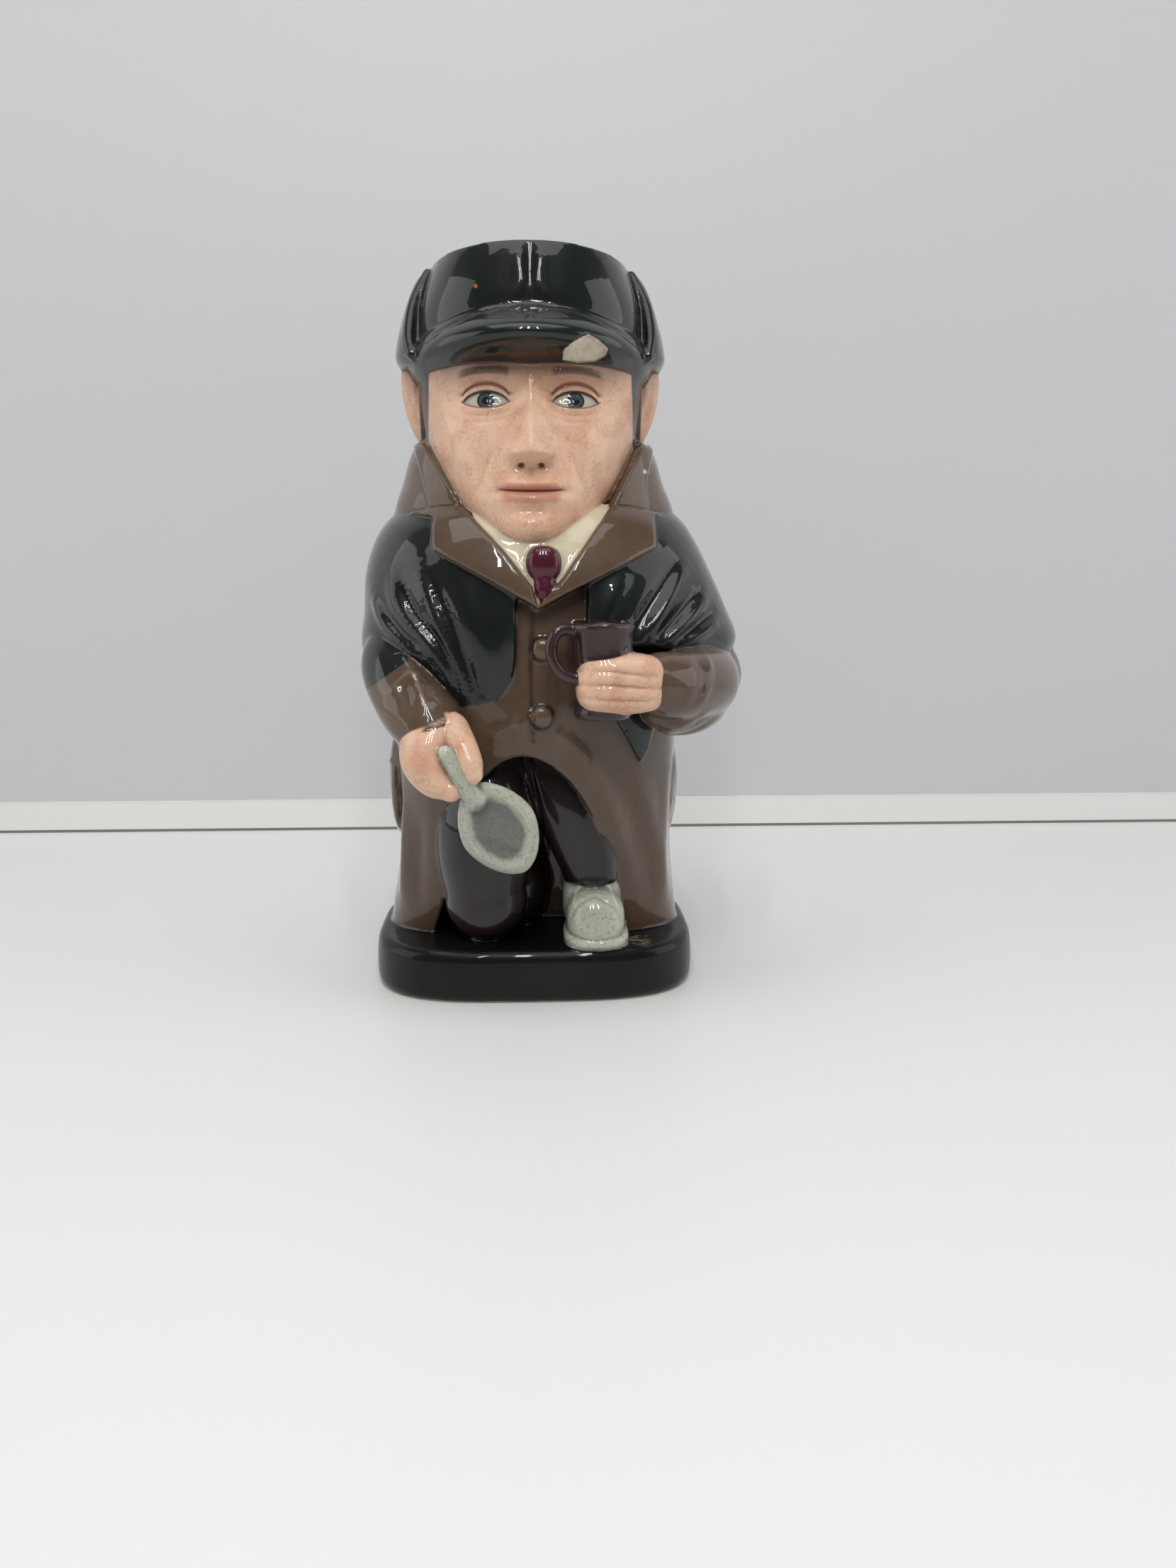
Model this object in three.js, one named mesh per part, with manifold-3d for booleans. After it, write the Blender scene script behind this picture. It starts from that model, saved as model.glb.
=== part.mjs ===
// A toby jug: a kneeling countryman in a peaked cap and a caped coat, slip-cast in one hollow piece.
// Millimetres, +Z up, the figure faces -Y. The origin is the middle of the flat underside.
import * as THREE from "three";
import { mergeVertices } from "three/addons/utils/BufferGeometryUtils.js";
import Module from "manifold-3d";

const wasm = await Module();
wasm.setup();

// Driving dimensions
const HEIGHT = 228; // underside to the lip above the cap's peak
const WALL = 4.2; // thickness of the cast clay
const PLINTH = { half: 53, front: -44, back: 44, top: 16.8 };
const CHIN = 141; // underside of the chin
const CAP_EDGE = 197; // lower edge of the cap
const COLLAR_TOP = 175;
const EYE_LINE = 183;
const NOSE_BASE = 165;
const MOUTH_LINE = 157;
const EYE_OUT = 13.2; // from the middle of the face to the middle of an eye
const HANDLE = { reach: 74, top: 150, low: 52, radius: 6.2 };

const v = (x, y, z) => new THREE.Vector3(x, y, z);

// A closed three.js geometry as a solid that can be joined and cut.
function solid(geometry) {
  const bare = geometry.index ? geometry.toNonIndexed() : geometry.clone();
  bare.deleteAttribute("normal");
  bare.deleteAttribute("uv");
  const merged = mergeVertices(bare, 1e-4);
  return new wasm.Manifold(
    new wasm.Mesh({
      numProp: 3,
      vertProperties: merged.attributes.position.array,
      triVerts: new Uint32Array(merged.index.array),
    }),
  );
}

const join = (...solids) => solids.flat().reduce((all, one) => all.add(one));

// A smooth curve through rows of numbers, read at the value t of each row's first number.
function between(rows, t) {
  const last = rows.length - 1;
  let i = 0;
  while (i < last - 1 && t > rows[i + 1][0]) i += 1;
  const [a, b] = [rows[i], rows[i + 1]];
  const before = rows[Math.max(i - 1, 0)];
  const after = rows[Math.min(i + 2, last)];
  const span = b[0] - a[0];
  const s = THREE.MathUtils.clamp((t - a[0]) / span, 0, 1);
  return a.map((start, k) => {
    const end = b[k];
    const slopeIn = ((end - before[k]) / (b[0] - before[0])) * span;
    const slopeOut = ((after[k] - start) / (after[0] - a[0])) * span;
    return (
      start * (1 + 2 * s) * (1 - s) ** 2 +
      slopeIn * s * (1 - s) ** 2 +
      end * s * s * (3 - 2 * s) +
      slopeOut * s * s * (s - 1)
    );
  });
}

// Moves every vertex of a geometry.
function reshape(geometry, move) {
  const places = geometry.attributes.position;
  const p = v(0, 0, 0);
  for (let i = 0; i < places.count; i += 1) {
    p.fromBufferAttribute(places, i);
    const to = move(p);
    places.setXYZ(i, to.x, to.y, to.z);
  }
  return geometry;
}

const curved = (value, power) => Math.sign(value) * Math.abs(value) ** power;

// A cylinder whose rings follow rows of [height, left, right, front, back, squareness]. Its lower edge may
// change with the bearing, grow widens it, frontal draws the vertices towards the front, heights places
// the rings, and relief moves a vertex.
function loft(rows, { around = 36, levels = 8, grow = 0, frontal = 0, heights, edge, relief } = {}) {
  const high = rows[rows.length - 1][0];
  const rings = heights ? heights.length - 1 : levels;
  const tube = new THREE.CylinderGeometry(1, 1, 1, around, rings).rotateX(Math.PI / 2);
  return solid(
    reshape(tube, (p) => {
      const ring = Math.round((p.z + 0.5) * rings);
      const even = Math.atan2(p.x, -p.y);
      const angle = even * (1 - frontal + (frontal * Math.abs(even)) / Math.PI);
      const low = edge ? edge(THREE.MathUtils.radToDeg(angle)) : rows[0][0];
      const height = heights ? heights[ring] : low + (ring / rings) * (high - low);
      const [z, left, right, front, back, square] = between(rows, height);
      if (Math.hypot(p.x, p.y) < 0.5) return v((right - left) / 2, (front + back) / 2, z);
      const x = curved(Math.sin(angle), 2 / square) * (angle > 0 ? right + grow : left + grow);
      const deep = Math.abs(angle) < Math.PI / 2 ? grow - front : grow + back;
      const y = -curved(Math.cos(angle), 2 / square) * deep;
      return relief ? v(x, y, z).add(relief(x, y, z)) : v(x, y, z);
    }),
  );
}

// A rounded lump: a sphere stretched to its half sizes, squarer as power falls, then turned in degrees.
function lump(centre, half, { turn = [0, 0, 0], power = 1, detail = 12 } = {}) {
  const turned = new THREE.Euler(...turn.map(THREE.MathUtils.degToRad));
  const ball = new THREE.SphereGeometry(1, detail, Math.round(detail * 0.6));
  return solid(
    reshape(ball, (p) =>
      v(...[p.x, p.y, p.z].map((c, i) => curved(c, power) * half[i]))
        .applyEuler(turned)
        .add(v(...centre)),
    ),
  );
}

// A limb: a round bar along a curve through points of [x, y, z, radius], with ends that close in.
function limb(points, { around = 12, steps = 10, flat = 1 } = {}) {
  const curve = new THREE.CatmullRomCurve3(points.map(([x, y, z]) => v(x, y, z)));
  const frames = curve.computeFrenetFrames(steps, false);
  const radii = points.map((p, i) => [i / (points.length - 1), p[3]]);
  const bar = new THREE.CylinderGeometry(1, 1, 1, around, steps).rotateX(Math.PI / 2);
  return solid(
    reshape(bar, (p) => {
      const i = Math.round((p.z + 0.5) * steps);
      const t = i / steps;
      const end = i === 0 || i === steps ? 0.55 : 1;
      const radius = between(radii, t)[1] * end;
      return curve
        .getPoint(t)
        .addScaledVector(frames.normals[i], p.x * radius)
        .addScaledVector(frames.binormals[i], p.y * radius * flat);
    }),
  );
}

// A flat outline of [x, z] points, smoothed or straight, pushed from one depth to another.
function prism(points, from, to, { round = 0 } = {}) {
  const outline = round
    ? new THREE.SplineCurve(points.map(([x, z]) => new THREE.Vector2(x, z))).getPoints(round)
    : points.map(([x, z]) => new THREE.Vector2(x, z));
  const plate = new THREE.ExtrudeGeometry(new THREE.Shape(outline), {
    depth: to - from,
    bevelEnabled: false,
  });
  return solid(plate.rotateX(Math.PI / 2).translate(0, to, 0));
}

// The plinth, with a rounded foot and shoulder.
function plinth() {
  const { half, front, back, top } = PLINTH;
  const row = (z, inset) => [z, half - inset, half - inset, front + inset, back - inset, 3.4];
  return loft(
    [row(0, 1.8), row(1.6, 0.5), row(4, 0), row(12, 0.2), row(15.4, 0.9), row(top, 2.4)],
    { around: 32, levels: 4 },
  );
}

// The coat, from its hem to the chest: [height, left, right, front, back, squareness].
const COAT = [
  [14, 49.6, 49.4, -24, 41, 2.8],
  [28, 47.6, 47.8, -29, 40, 2.7],
  [43, 45.4, 46.6, -34, 38.5, 2.6],
  [58, 44.6, 46.8, -39.5, 38, 2.5],
  [72, 45.4, 47.4, -43.2, 38, 2.5],
  [86, 45, 47, -45.4, 38.5, 2.5],
  [104, 44, 46, -45.4, 40, 2.4],
  [122, 42, 44, -43.8, 40, 2.3],
  [138, 38, 40, -40, 38, 2.2],
  [152, 32, 34, -34, 34, 2.1],
];
const COAT_OPEN_TOP = 78.5;

// The coat is open in front from the last button down, and the opening narrows towards its back.
function coatOpening() {
  const edge = [
    [-46, 10], [-32.5, 40], [-28, 62], [-14, 75.5], [-1, COAT_OPEN_TOP],
    [12, 71.5], [22, 58], [27.6, 43], [41, 10],
  ];
  const curve = new THREE.SplineCurve(edge.map(([x, z]) => new THREE.Vector2(x, z)));
  const deepest = -5;
  const plate = new THREE.ExtrudeGeometry(new THREE.Shape(curve.getPoints(20)), {
    depth: 60,
    bevelEnabled: false,
  });
  const wedge = plate.rotateX(Math.PI / 2).translate(0, deepest, 0);
  return solid(
    reshape(wedge, (p) => {
      const narrow = p.y > deepest - 1 ? 0.72 : 1;
      return v(p.x * narrow, p.y, p.y > deepest - 1 ? p.z * 0.94 : p.z);
    }),
  );
}

function pockets() {
  return [-1, 1].map((side) => lump([side * 45.2, -2, 64], [3.4, 13, 18], { detail: 8 }));
}

// The kneeling leg, the leg with its foot forward, and the shoe.
function legs() {
  const kneeling = limb(
    [[-11, -18, 82, 11], [-14.5, -27, 60, 14.5], [-16, -28, 40, 15], [-15.5, -28, 26, 12]],
    { around: 12, steps: 5 },
  );
  const knee = lump([-15.5, -28.5, 29], [14.2, 13.6, 12.6], { detail: 12 });
  const forward = limb(
    [[8, -20, 84, 11], [14, -27, 62, 12.5], [18.2, -25, 38, 10.4]],
    { around: 12, steps: 5 },
  );
  const calf = lump([-3, -8, 30], [8, 12, 15], { detail: 8 });
  return [kneeling, knee, forward, calf];
}

function shoe() {
  const ankle = lump([18.4, -23, 29], [9.2, 11, 13], { power: 0.8, detail: 8 });
  const toe = lump([18.6, -32.5, 24.5], [8.8, 11.4, 8.6], { turn: [-14, 0, 0], power: 0.82, detail: 10 });
  const welt = lump([19.2, -29, 19], [10.4, 14.2, 3.6], { power: 0.8, detail: 10 });
  return [ankle, toe, welt];
}

// The cape over both shoulders: the same kind of rows as the coat.
const CAPE = [
  [84, 46.5, 48, -42, 43, 2.4],
  [96, 50, 55, -45.6, 45, 2.4],
  [106, 55.2, 64.5, -47, 46, 2.3],
  [113, 56.1, 67.6, -47.6, 46, 2.3],
  [121, 55, 64.6, -47.6, 45, 2.3],
  [134, 54, 58.6, -46, 43, 2.3],
  [145, 50.4, 53, -41.6, 40.8, 2.2],
  [152, 45, 47.6, -36, 36.6, 2.1],
  [158, 36, 37, -28, 29, 2],
];

// The height of the cape's hem at each bearing, in degrees from the front towards the figure's left.
const HEM = [
  [-180, 94], [-125, 96], [-95, 100], [-72, 105.5], [-50, 110.5], [-38, 107.5],
  [-30, 97], [-24, 88], [-17, 90], [-9, 98], [0, 110], [20, 113.4],
  [40, 112.6], [58, 110], [78, 103.5], [105, 98], [140, 95], [180, 94],
];
const hem = (bearing) => between(HEM, bearing)[1];

function cape() {
  const cloth = loft(CAPE, { around: 34, levels: 6, frontal: 0.25, edge: hem });
  const opening = [
    [-19, 82], [-12, 90.5], [-7.2, 99], [-5.4, 108], [-5, 126],
    [1.5, 132], [16.6, 130], [16.4, 117], [19, 111], [19, 82],
  ];
  const tail = limb([[32, -38, 93, 5], [33, -40, 84, 3.6], [33.4, -40.5, 77, 1.4]], { around: 6, steps: 3 });
  return [cloth.subtract(prism(opening, -80, -30)), tail];
}

// Folds that the arms pull in the cape, each a slim bar that stands a little out of the cloth.
function folds() {
  const left = [
    [[-36, -33, 140, 2], [-44, -30, 128, 3], [-37, -38, 115, 3], [-30, -41, 104, 2]],
    [[-46, -21, 134, 2], [-51, -21, 122, 3], [-43, -33, 112, 2.4]],
    [[-25, -42, 128, 2], [-28, -43.5, 114, 3], [-22, -45, 100, 2]],
  ];
  const right = [
    [[46, -30, 142, 2], [45, -37, 130, 3], [37, -43, 118, 2.2]],
    [[53, -24, 132, 2], [56, -29, 122, 3], [48, -38, 115, 2.2]],
    [[61, -16, 121, 2], [62, -23, 115, 2.6], [56, -31, 111, 2]],
  ];
  return [...left, ...right].map((points) => limb(points, { around: 5, steps: 4 }));
}

// The sleeve, hand and trowel on the figure's right.
function trowelArm() {
  const sleeve = limb(
    [[-42, -10, 120, 12], [-42.6, -24, 107, 11.6], [-37, -38, 95, 11], [-30.4, -45, 86.6, 10.6]],
    { around: 12, steps: 6 },
  );
  const palm = lump([-28.4, -48.5, 78.5], [9.6, 8.4, 10.6], { turn: [0, -18, 0], detail: 10 });
  const fingers = [0, 1, 2].map((i) =>
    limb(
      [
        [-35.4 + i * 4.2, -50, 76.5 - i * 3.2, 3.4],
        [-31.6 + i * 4, -56.5, 72.2 - i * 2.2, 3.3],
        [-26.6 + i * 2.6, -58.5, 69.8 - i * 1, 2.9],
      ],
      { around: 6, steps: 3 },
    ),
  );
  const thumb = limb(
    [[-22, -50, 88, 3.8], [-18.4, -56, 82, 3.6], [-17, -58.6, 75.6, 2.8]],
    { around: 6, steps: 3 },
  );
  return [sleeve, palm, thumb, ...fingers];
}

// The trowel hangs point down across the knee: a slim neck, and a leaf-shaped blade with a hollow face.
const TROWEL = {
  top: [-26, -57, 83],
  neck: [-19.6, -57.4, 72],
  middle: [-10.6, -53, 58.5],
  tip: [-4.4, -50.5, 46],
};

function trowel() {
  const { top, neck, middle, tip } = TROWEL;
  const shaft = limb([[...top, 2.4], [...neck, 2.6], [...middle, 3]], { around: 6, steps: 4 });
  const down = v(...tip).sub(v(...neck));
  const lean = THREE.MathUtils.radToDeg(Math.atan2(down.x, -down.z));
  const blade = (grow, forward) =>
    lump(
      middle.map((c, i) => c + (i === 1 ? forward : 0)),
      [10.6 + grow, 5.2 + grow, 15 + grow],
      { turn: [6, -lean, 0], detail: 10 },
    );
  return shaft.add(blade(0, 0)).subtract(blade(-1.8, -4.8));
}

// The forearm, fist and mug on the figure's left.
function mugArm() {
  const elbow = lump([55.6, -8, 100.5], [13.4, 14, 13.6], { detail: 10 });
  const sleeve = limb(
    [[56, -6, 101, 12], [53, -26, 99.4, 11.8], [44, -42, 100, 10.6], [37, -48, 101, 9.6]],
    { around: 12, steps: 5 },
  );
  const back = lump([30, -51, 101.6], [9.6, 7.6, 9], { power: 0.75, detail: 10 });
  const fingers = [0, 1, 2, 3].map((i) => {
    const z = 107.4 - i * 4.3;
    return limb(
      [[35, -54.4, z, 2.7], [27, -59.2, z, 2.8], [18, -60, z - 0.3, 2.7], [12.6, -56, z - 0.4, 2.2]],
      { around: 5, steps: 4 },
    );
  });
  return [elbow, sleeve, back, ...fingers];
}

function mug() {
  const profile = [
    [0, 91], [8.2, 91], [8.8, 92.6], [8.2, 95], [8.8, 104], [9.4, 115], [10.2, 118.4], [9.4, 119.2],
  ];
  const hollow = [[7.2, 119.2], [6.8, 111], [0, 110.4]];
  const cup = new THREE.LatheGeometry(
    [...profile, ...hollow].map(([r, z]) => new THREE.Vector2(r, z)),
    10,
  );
  const body = solid(cup.rotateX(Math.PI / 2).translate(20.4, -49.6, 0));
  const ear = limb(
    [
      [13, -53, 117, 1.9], [7.4, -55.2, 117, 1.8], [5.2, -56, 111, 1.8], [8, -56, 105, 1.8],
      [13, -55, 103, 1.9],
    ],
    { around: 6, steps: 6 },
  );
  return [body, ear];
}

function buttons() {
  return [[3, -45.2, 111.2], [2.4, -45.8, 91]].map((place) => lump(place, [3.4, 2.2, 3.4], { detail: 8 }));
}

// The upright collar round the neck, open in front, and the two lapels that lie on the chest.
const COLLAR = [
  [146, 42, 44, -34, 36.4, 2.1],
  [152, 44.6, 46.6, -35, 38.4, 2.1],
  [162, 41.6, 43, -34, 38.6, 2.1],
  [COLLAR_TOP - 3, 38.4, 39.6, -32.6, 38.6, 2.1],
  [COLLAR_TOP, 35.6, 36.8, -31, 36.8, 2.1],
];

function collar() {
  const window = [
    [-60, 200], [-37.8, COLLAR_TOP], [-32.6, 172], [-21.6, 154], [-15, 146.5], [0, 138], [19, 146.5],
    [24.6, 154], [34.6, 172], [39.6, COLLAR_TOP], [60, 200],
  ];
  const outlines = [
    [
      [-37.6, 152], [-29.6, 150.5], [-29.6, 140.6], [-13, 131.8],
      [1.4, 123.6], [-0.4, 129.6], [-8.2, 139.5], [-21.6, 154],
    ],
    [
      [40, 152], [37.4, 150.5], [37.4, 141.2], [20, 132.6],
      [1.2, 123], [8.8, 131.5], [14.4, 139.5], [24.6, 154],
    ],
  ];
  const chest = loft(CAPE, { around: 34, levels: 6, frontal: 0.25, grow: 2.6 });
  const lapels = outlines.map((points) => chest.intersect(prism(points, -60, -10)));
  return [loft(COLLAR, { around: 34, levels: 3, frontal: 0.25 }).subtract(prism(window, -60, -6)), ...lapels];
}

function tie() {
  const knot = lump([3.6, -43.6, 135.8], [4.7, 3.6, 4.9], { detail: 8 });
  const tail = limb([[3.8, -44, 133, 3], [4.2, -46.4, 127.6, 2.4]], { around: 6, steps: 2 });
  return [knot, tail];
}

// The head, from under the chin up into the cap.
const HEAD = [
  [139.4, 10, 10, -33, 24, 2],
  [142, 15.6, 15.6, -42, 27, 2.2],
  [147, 20.4, 20.4, -44.8, 30, 2.4],
  [154, 25.6, 25.6, -44.8, 32, 2.4],
  [163, 30.2, 30.2, -43, 33.6, 2.4],
  [173, 33.2, 33.2, -41.4, 35, 2.4],
  [185, 35, 35, -39.8, 36.4, 2.4],
  [198, 36, 36, -39, 37, 2.4],
  [204, 35, 35, -38, 36.5, 2.4],
];

// How far the face stands out of the head at a place, in even thirds from brow to nose to chin.
const bell = (x, z, cx, cz, wide, tall) => Math.exp(-(((x - cx) / wide) ** 2) - ((z - cz) / tall) ** 2);

function carving(x, z) {
  const side = Math.abs(x);
  const ridge = THREE.MathUtils.smoothstep(z, NOSE_BASE - 1.6, NOSE_BASE + 3);
  const bridge = THREE.MathUtils.clamp((EYE_LINE + 5 - z) / 18, 0, 1);
  const nose = (1.4 + 6.6 * bridge ** 1.3) * ridge * Math.exp(-((x / (2.8 + 1.8 * bridge)) ** 2));
  return (
    nose * (z > EYE_LINE + 7 ? 0 : 1) +
    3 * ridge * bell(side, z, 4.9, NOSE_BASE + 2.6, 2.4, 2.8) +
    1.5 * bell(side, z, 12, EYE_LINE + 8, 10, 3) -
    3.2 * bell(side, z, 11.4, EYE_LINE + 0.6, 8, 4.6) +
    2.6 * bell(side, z, EYE_OUT, EYE_LINE, 5, 2.8) +
    1.8 * bell(side, z, 18.6, EYE_LINE - 13, 8, 7.6) +
    1.5 * bell(x, z, 0, MOUTH_LINE + 1, 12, 7) +
    1.5 * bell(x, z, 0, MOUTH_LINE + 2, 7.4, 1.6) -
    1.7 * bell(x, z, 0, MOUTH_LINE, 9, 0.9) +
    1.7 * bell(x, z, 0, MOUTH_LINE - 2.2, 6.6, 1.8) -
    1.3 * bell(x, z, 0, MOUTH_LINE - 5.8, 6.4, 1.7) +
    2.4 * bell(x, z, 0, CHIN + 5.6, 7, 4)
  );
}

function head() {
  const spaced = (from, to, count) =>
    Array.from({ length: count }, (_, i) => from + ((to - from) * i) / count);
  const heights = [
    ...spaced(HEAD[0][0], MOUTH_LINE - 6, 2),
    ...spaced(MOUTH_LINE - 6, MOUTH_LINE + 4, 5),
    ...spaced(MOUTH_LINE + 4, EYE_LINE - 5, 5),
    ...spaced(EYE_LINE - 5, EYE_LINE + 9, 4),
    EYE_LINE + 9,
    HEAD[HEAD.length - 1][0],
  ];
  const relief = (x, y, z) => v(0, -carving(x, z) * THREE.MathUtils.clamp(-y / 20, 0, 1), 0);
  const skull = loft(HEAD, { around: 32, frontal: 0.6, heights, relief });
  const ears = [-1, 1].map((side) =>
    lump([side * 36, -2, 187], [4.6, 7.6, 14], { turn: [0, side * 12, 0], detail: 8 }),
  );
  return [skull, ...ears];
}

// The cap's crown, its turned-up band round the sides and back, and its peak.
const CROWN = [
  [CAP_EDGE - 2, 37, 37, -39.4, 38, 2.3],
  [205, 36.6, 36.6, -40, 38.4, 2.3],
  [213, 35.4, 35.4, -39.8, 37.8, 2.3],
  [221, 33.2, 33.2, -38.6, 36, 2.2],
  [HEIGHT - 1, 30.6, 30.6, -36.6, 34, 2.2],
];

const BAND = [
  [CAP_EDGE - 0.6, 40.6, 41, -41, 40.6, 2.2],
  [CAP_EDGE + 3, 42.8, 43, -42.6, 42.4, 2.2],
  [212, 40.2, 40.4, -42, 41.6, 2.2],
  [221, 36.6, 36.8, -40, 38.8, 2.2],
  [225.6, 33.4, 33.6, -37.6, 36, 2.2],
];

function cap() {
  const spring = (x, y) => v(0, 0, y < 0 ? 1.2 * (y / 38) ** 4 : 0);
  const crown = loft(CROWN, { around: 28, levels: 4, relief: spring });
  const bare = solid(new THREE.BoxGeometry(100, 60, 80).rotateX(-0.45).translate(0, -48, 214));
  const band = loft(BAND, { around: 28, levels: 3 }).subtract(bare);
  const droop = (x) => v(0, 0, -3.2 * (x / 38) ** 2);
  const peak = loft(
    [
      [194.6, 36, 36, -40.4, 0, 2],
      [198.6, 38.4, 38.4, -50.6, 0, 2],
      [201.4, 38.8, 38.8, -51.6, 0, 2],
      [206, 37.4, 37.4, -46, 0, 2],
      [212, 33, 33, -37, 0, 2],
    ],
    { around: 26, levels: 4, frontal: 0.4, relief: droop },
  );
  const crease = limb(
    [[0, -43.4, 212, 2], [0, -41.6, 220, 3.4], [0, -40.6, 232, 4.6]],
    { around: 8, steps: 3 },
  );
  return [crown.subtract(crease), band, peak];
}

// The handle behind, from the shoulders to the small of the back.
function handle() {
  const { reach, top, low, radius } = HANDLE;
  const middle = (top + low) / 2;
  return limb(
    [
      [1, 34, top - 12, radius + 1],
      [1, 52, top - 5, radius],
      [1, reach - radius - 3, top - 16, radius],
      [1, reach - radius, middle + 6, radius],
      [1, reach - radius - 6, low + 22, radius],
      [1, 50, low + 5, radius],
      [1, 34, low, radius + 1],
    ],
    { around: 8, steps: 11, flat: 1.25 },
  );
}

// The hollow inside: it stays behind the open front of the coat, then lies one wall thickness within the
// coat, the cape, the head and the cap, and opens at the top of the cap. Where the cape is open in front it
// stays behind the coat, and above the hem it widens by steps from the coat's width to the cape's.
function hollow() {
  const within = (rows, height) => {
    const [, left, right, front, back, square] = between(rows, height);
    return [height, left - WALL, right - WALL, front + WALL, back - WALL, square];
  };
  const behindLegs = (height, front) => [...within(COAT, height).with(3, front)];
  const underCape = (height, share, front, square) => {
    const [coatRow, capeRow] = [within(COAT, height), within(CAPE, height)];
    const widened = (i) => coatRow[i] + (capeRow[i] - coatRow[i]) * share;
    return [height, widened(1), widened(2), front, widened(4), square];
  };
  const rows = [
    [7, 38, 38, 4, 33, 2.6],
    behindLegs(13, 2),
    behindLegs(32, 0),
    behindLegs(58, -1),
    behindLegs(COAT_OPEN_TOP, -5),
    behindLegs(91, -37.4),
    behindLegs(102, -41),
    underCape(107, 0.6, -40.8, 1.9),
    underCape(121, 1, -38.8, 2.1),
    underCape(134, 1, -38.6, 2.2),
    underCape(139, 1, -38.6, 2.2),
    within(CAPE, 146),
    [154, 27.6, 28, -30, 30, 2.3],
    ...[164, 178, 194].map((height) => within(HEAD, height)),
    ...[207, 221].map((height) => within(CROWN, height)),
    within(CROWN, HEIGHT - 1).with(0, HEIGHT + 6),
  ];
  const cavity = loft(rows, { around: 20, heights: rows.map(([height]) => height) });
  const thigh = limb(
    [[-11.5, -19, 86, 6], [-13.5, -23.5, 71, 8.4], [-15, -27, 58, 10], [-15.8, -27.6, 44, 10.4], [-15.6, -27.6, 32, 8.4]],
    { around: 8, steps: 4 },
  );
  const elbow = limb([[37, -7, 107, 6.4], [47, -8, 103.5, 7.2], [55.4, -8, 101.5, 9.2]], { around: 8, steps: 3 });
  return join(cavity, thigh, elbow);
}

// Everything outside is one casting, emptied from the cap down.
const outside = join(
  plinth(),
  loft(COAT, { around: 30, levels: 5 }).subtract(coatOpening()),
  pockets(), legs(), shoe(), cape(), folds(), collar(), tie(), buttons(),
  trowelArm(), trowel(), mugArm(), mug(), head(), cap(), handle(),
);
const casting = outside.subtract(hollow());

const { vertProperties, triVerts } = casting.getMesh();
const clay = new THREE.BufferGeometry();
clay.setAttribute("position", new THREE.BufferAttribute(vertProperties, 3));
clay.setIndex(new THREE.BufferAttribute(triVerts, 1));
clay.computeVertexNormals();

const glaze = new THREE.MeshStandardMaterial({ color: 0x4a3c30, roughness: 0.12, metalness: 0 });
const jug = new THREE.Mesh(clay, glaze);
jug.name = "toby_jug";

const group = new THREE.Group();
group.add(jug);
export default group;
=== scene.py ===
# %% [markdown]
# # A glazed toby jug
#
# A toby jug is a hollow figure, cast in one piece from liquid clay, painted by hand and dipped in clear
# glaze. This lesson models a kneeling countryman in a peaked cap and a caped coat. Every form is made on
# its own first, as a modeller in clay would, then all of them are melted into one skin, carved, hollowed
# and painted.

import bpy
import numpy as np
from mathutils import Euler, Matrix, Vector
from mathutils.bvhtree import BVHTree


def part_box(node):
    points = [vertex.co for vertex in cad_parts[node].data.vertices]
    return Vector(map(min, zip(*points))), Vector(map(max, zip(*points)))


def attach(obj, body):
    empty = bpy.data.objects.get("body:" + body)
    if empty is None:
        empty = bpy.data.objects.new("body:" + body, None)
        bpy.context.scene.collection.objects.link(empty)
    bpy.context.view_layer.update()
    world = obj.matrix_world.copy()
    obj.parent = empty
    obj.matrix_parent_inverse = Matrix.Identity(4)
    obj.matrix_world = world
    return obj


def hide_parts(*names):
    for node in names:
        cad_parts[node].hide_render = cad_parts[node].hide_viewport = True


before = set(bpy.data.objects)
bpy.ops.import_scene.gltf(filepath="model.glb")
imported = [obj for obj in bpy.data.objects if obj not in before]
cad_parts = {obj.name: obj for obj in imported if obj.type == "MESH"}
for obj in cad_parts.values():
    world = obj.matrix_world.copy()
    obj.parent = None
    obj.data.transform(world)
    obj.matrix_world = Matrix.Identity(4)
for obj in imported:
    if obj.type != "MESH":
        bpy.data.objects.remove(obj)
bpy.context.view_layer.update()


# %% [markdown]
# ## Sizes
#
# All tables below are in millimetres, as a potter would measure, with the figure facing -Y and its foot
# at height 0. `MM` turns them into Blender's metres. The head follows the old rule of equal parts: the
# brow, the base of the nose and the chin are a third of the face apart, and the eyes are one eye's width
# from each other.

# %% Sizes
MM = 0.001
HEIGHT = round(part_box("toby_jug")[1].z / MM)
WALL = 4.2
PLINTH_TOP = 16.8
CHIN = 141
EYE_LINE = 183
EYE_OUT = 13.2
NOSE_BASE = 165
MOUTH_LINE = 157
CAP_EDGE = 197
COLLAR_TOP = 175
COAT_OPEN_TOP = 78.5
HANDLE = {"reach": 74, "top": 150, "low": 52, "radius": 6.2}
GRAIN = 0.55
TRIANGLES = 192_000

# %% [markdown]
# ## Reading a table along smooth curves
#
# Most forms here are described by a few rows of numbers, like the stations of a boat's hull. `between`
# reads such a table at any value of its first column, along curves that pass through every row without a
# kink.

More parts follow.
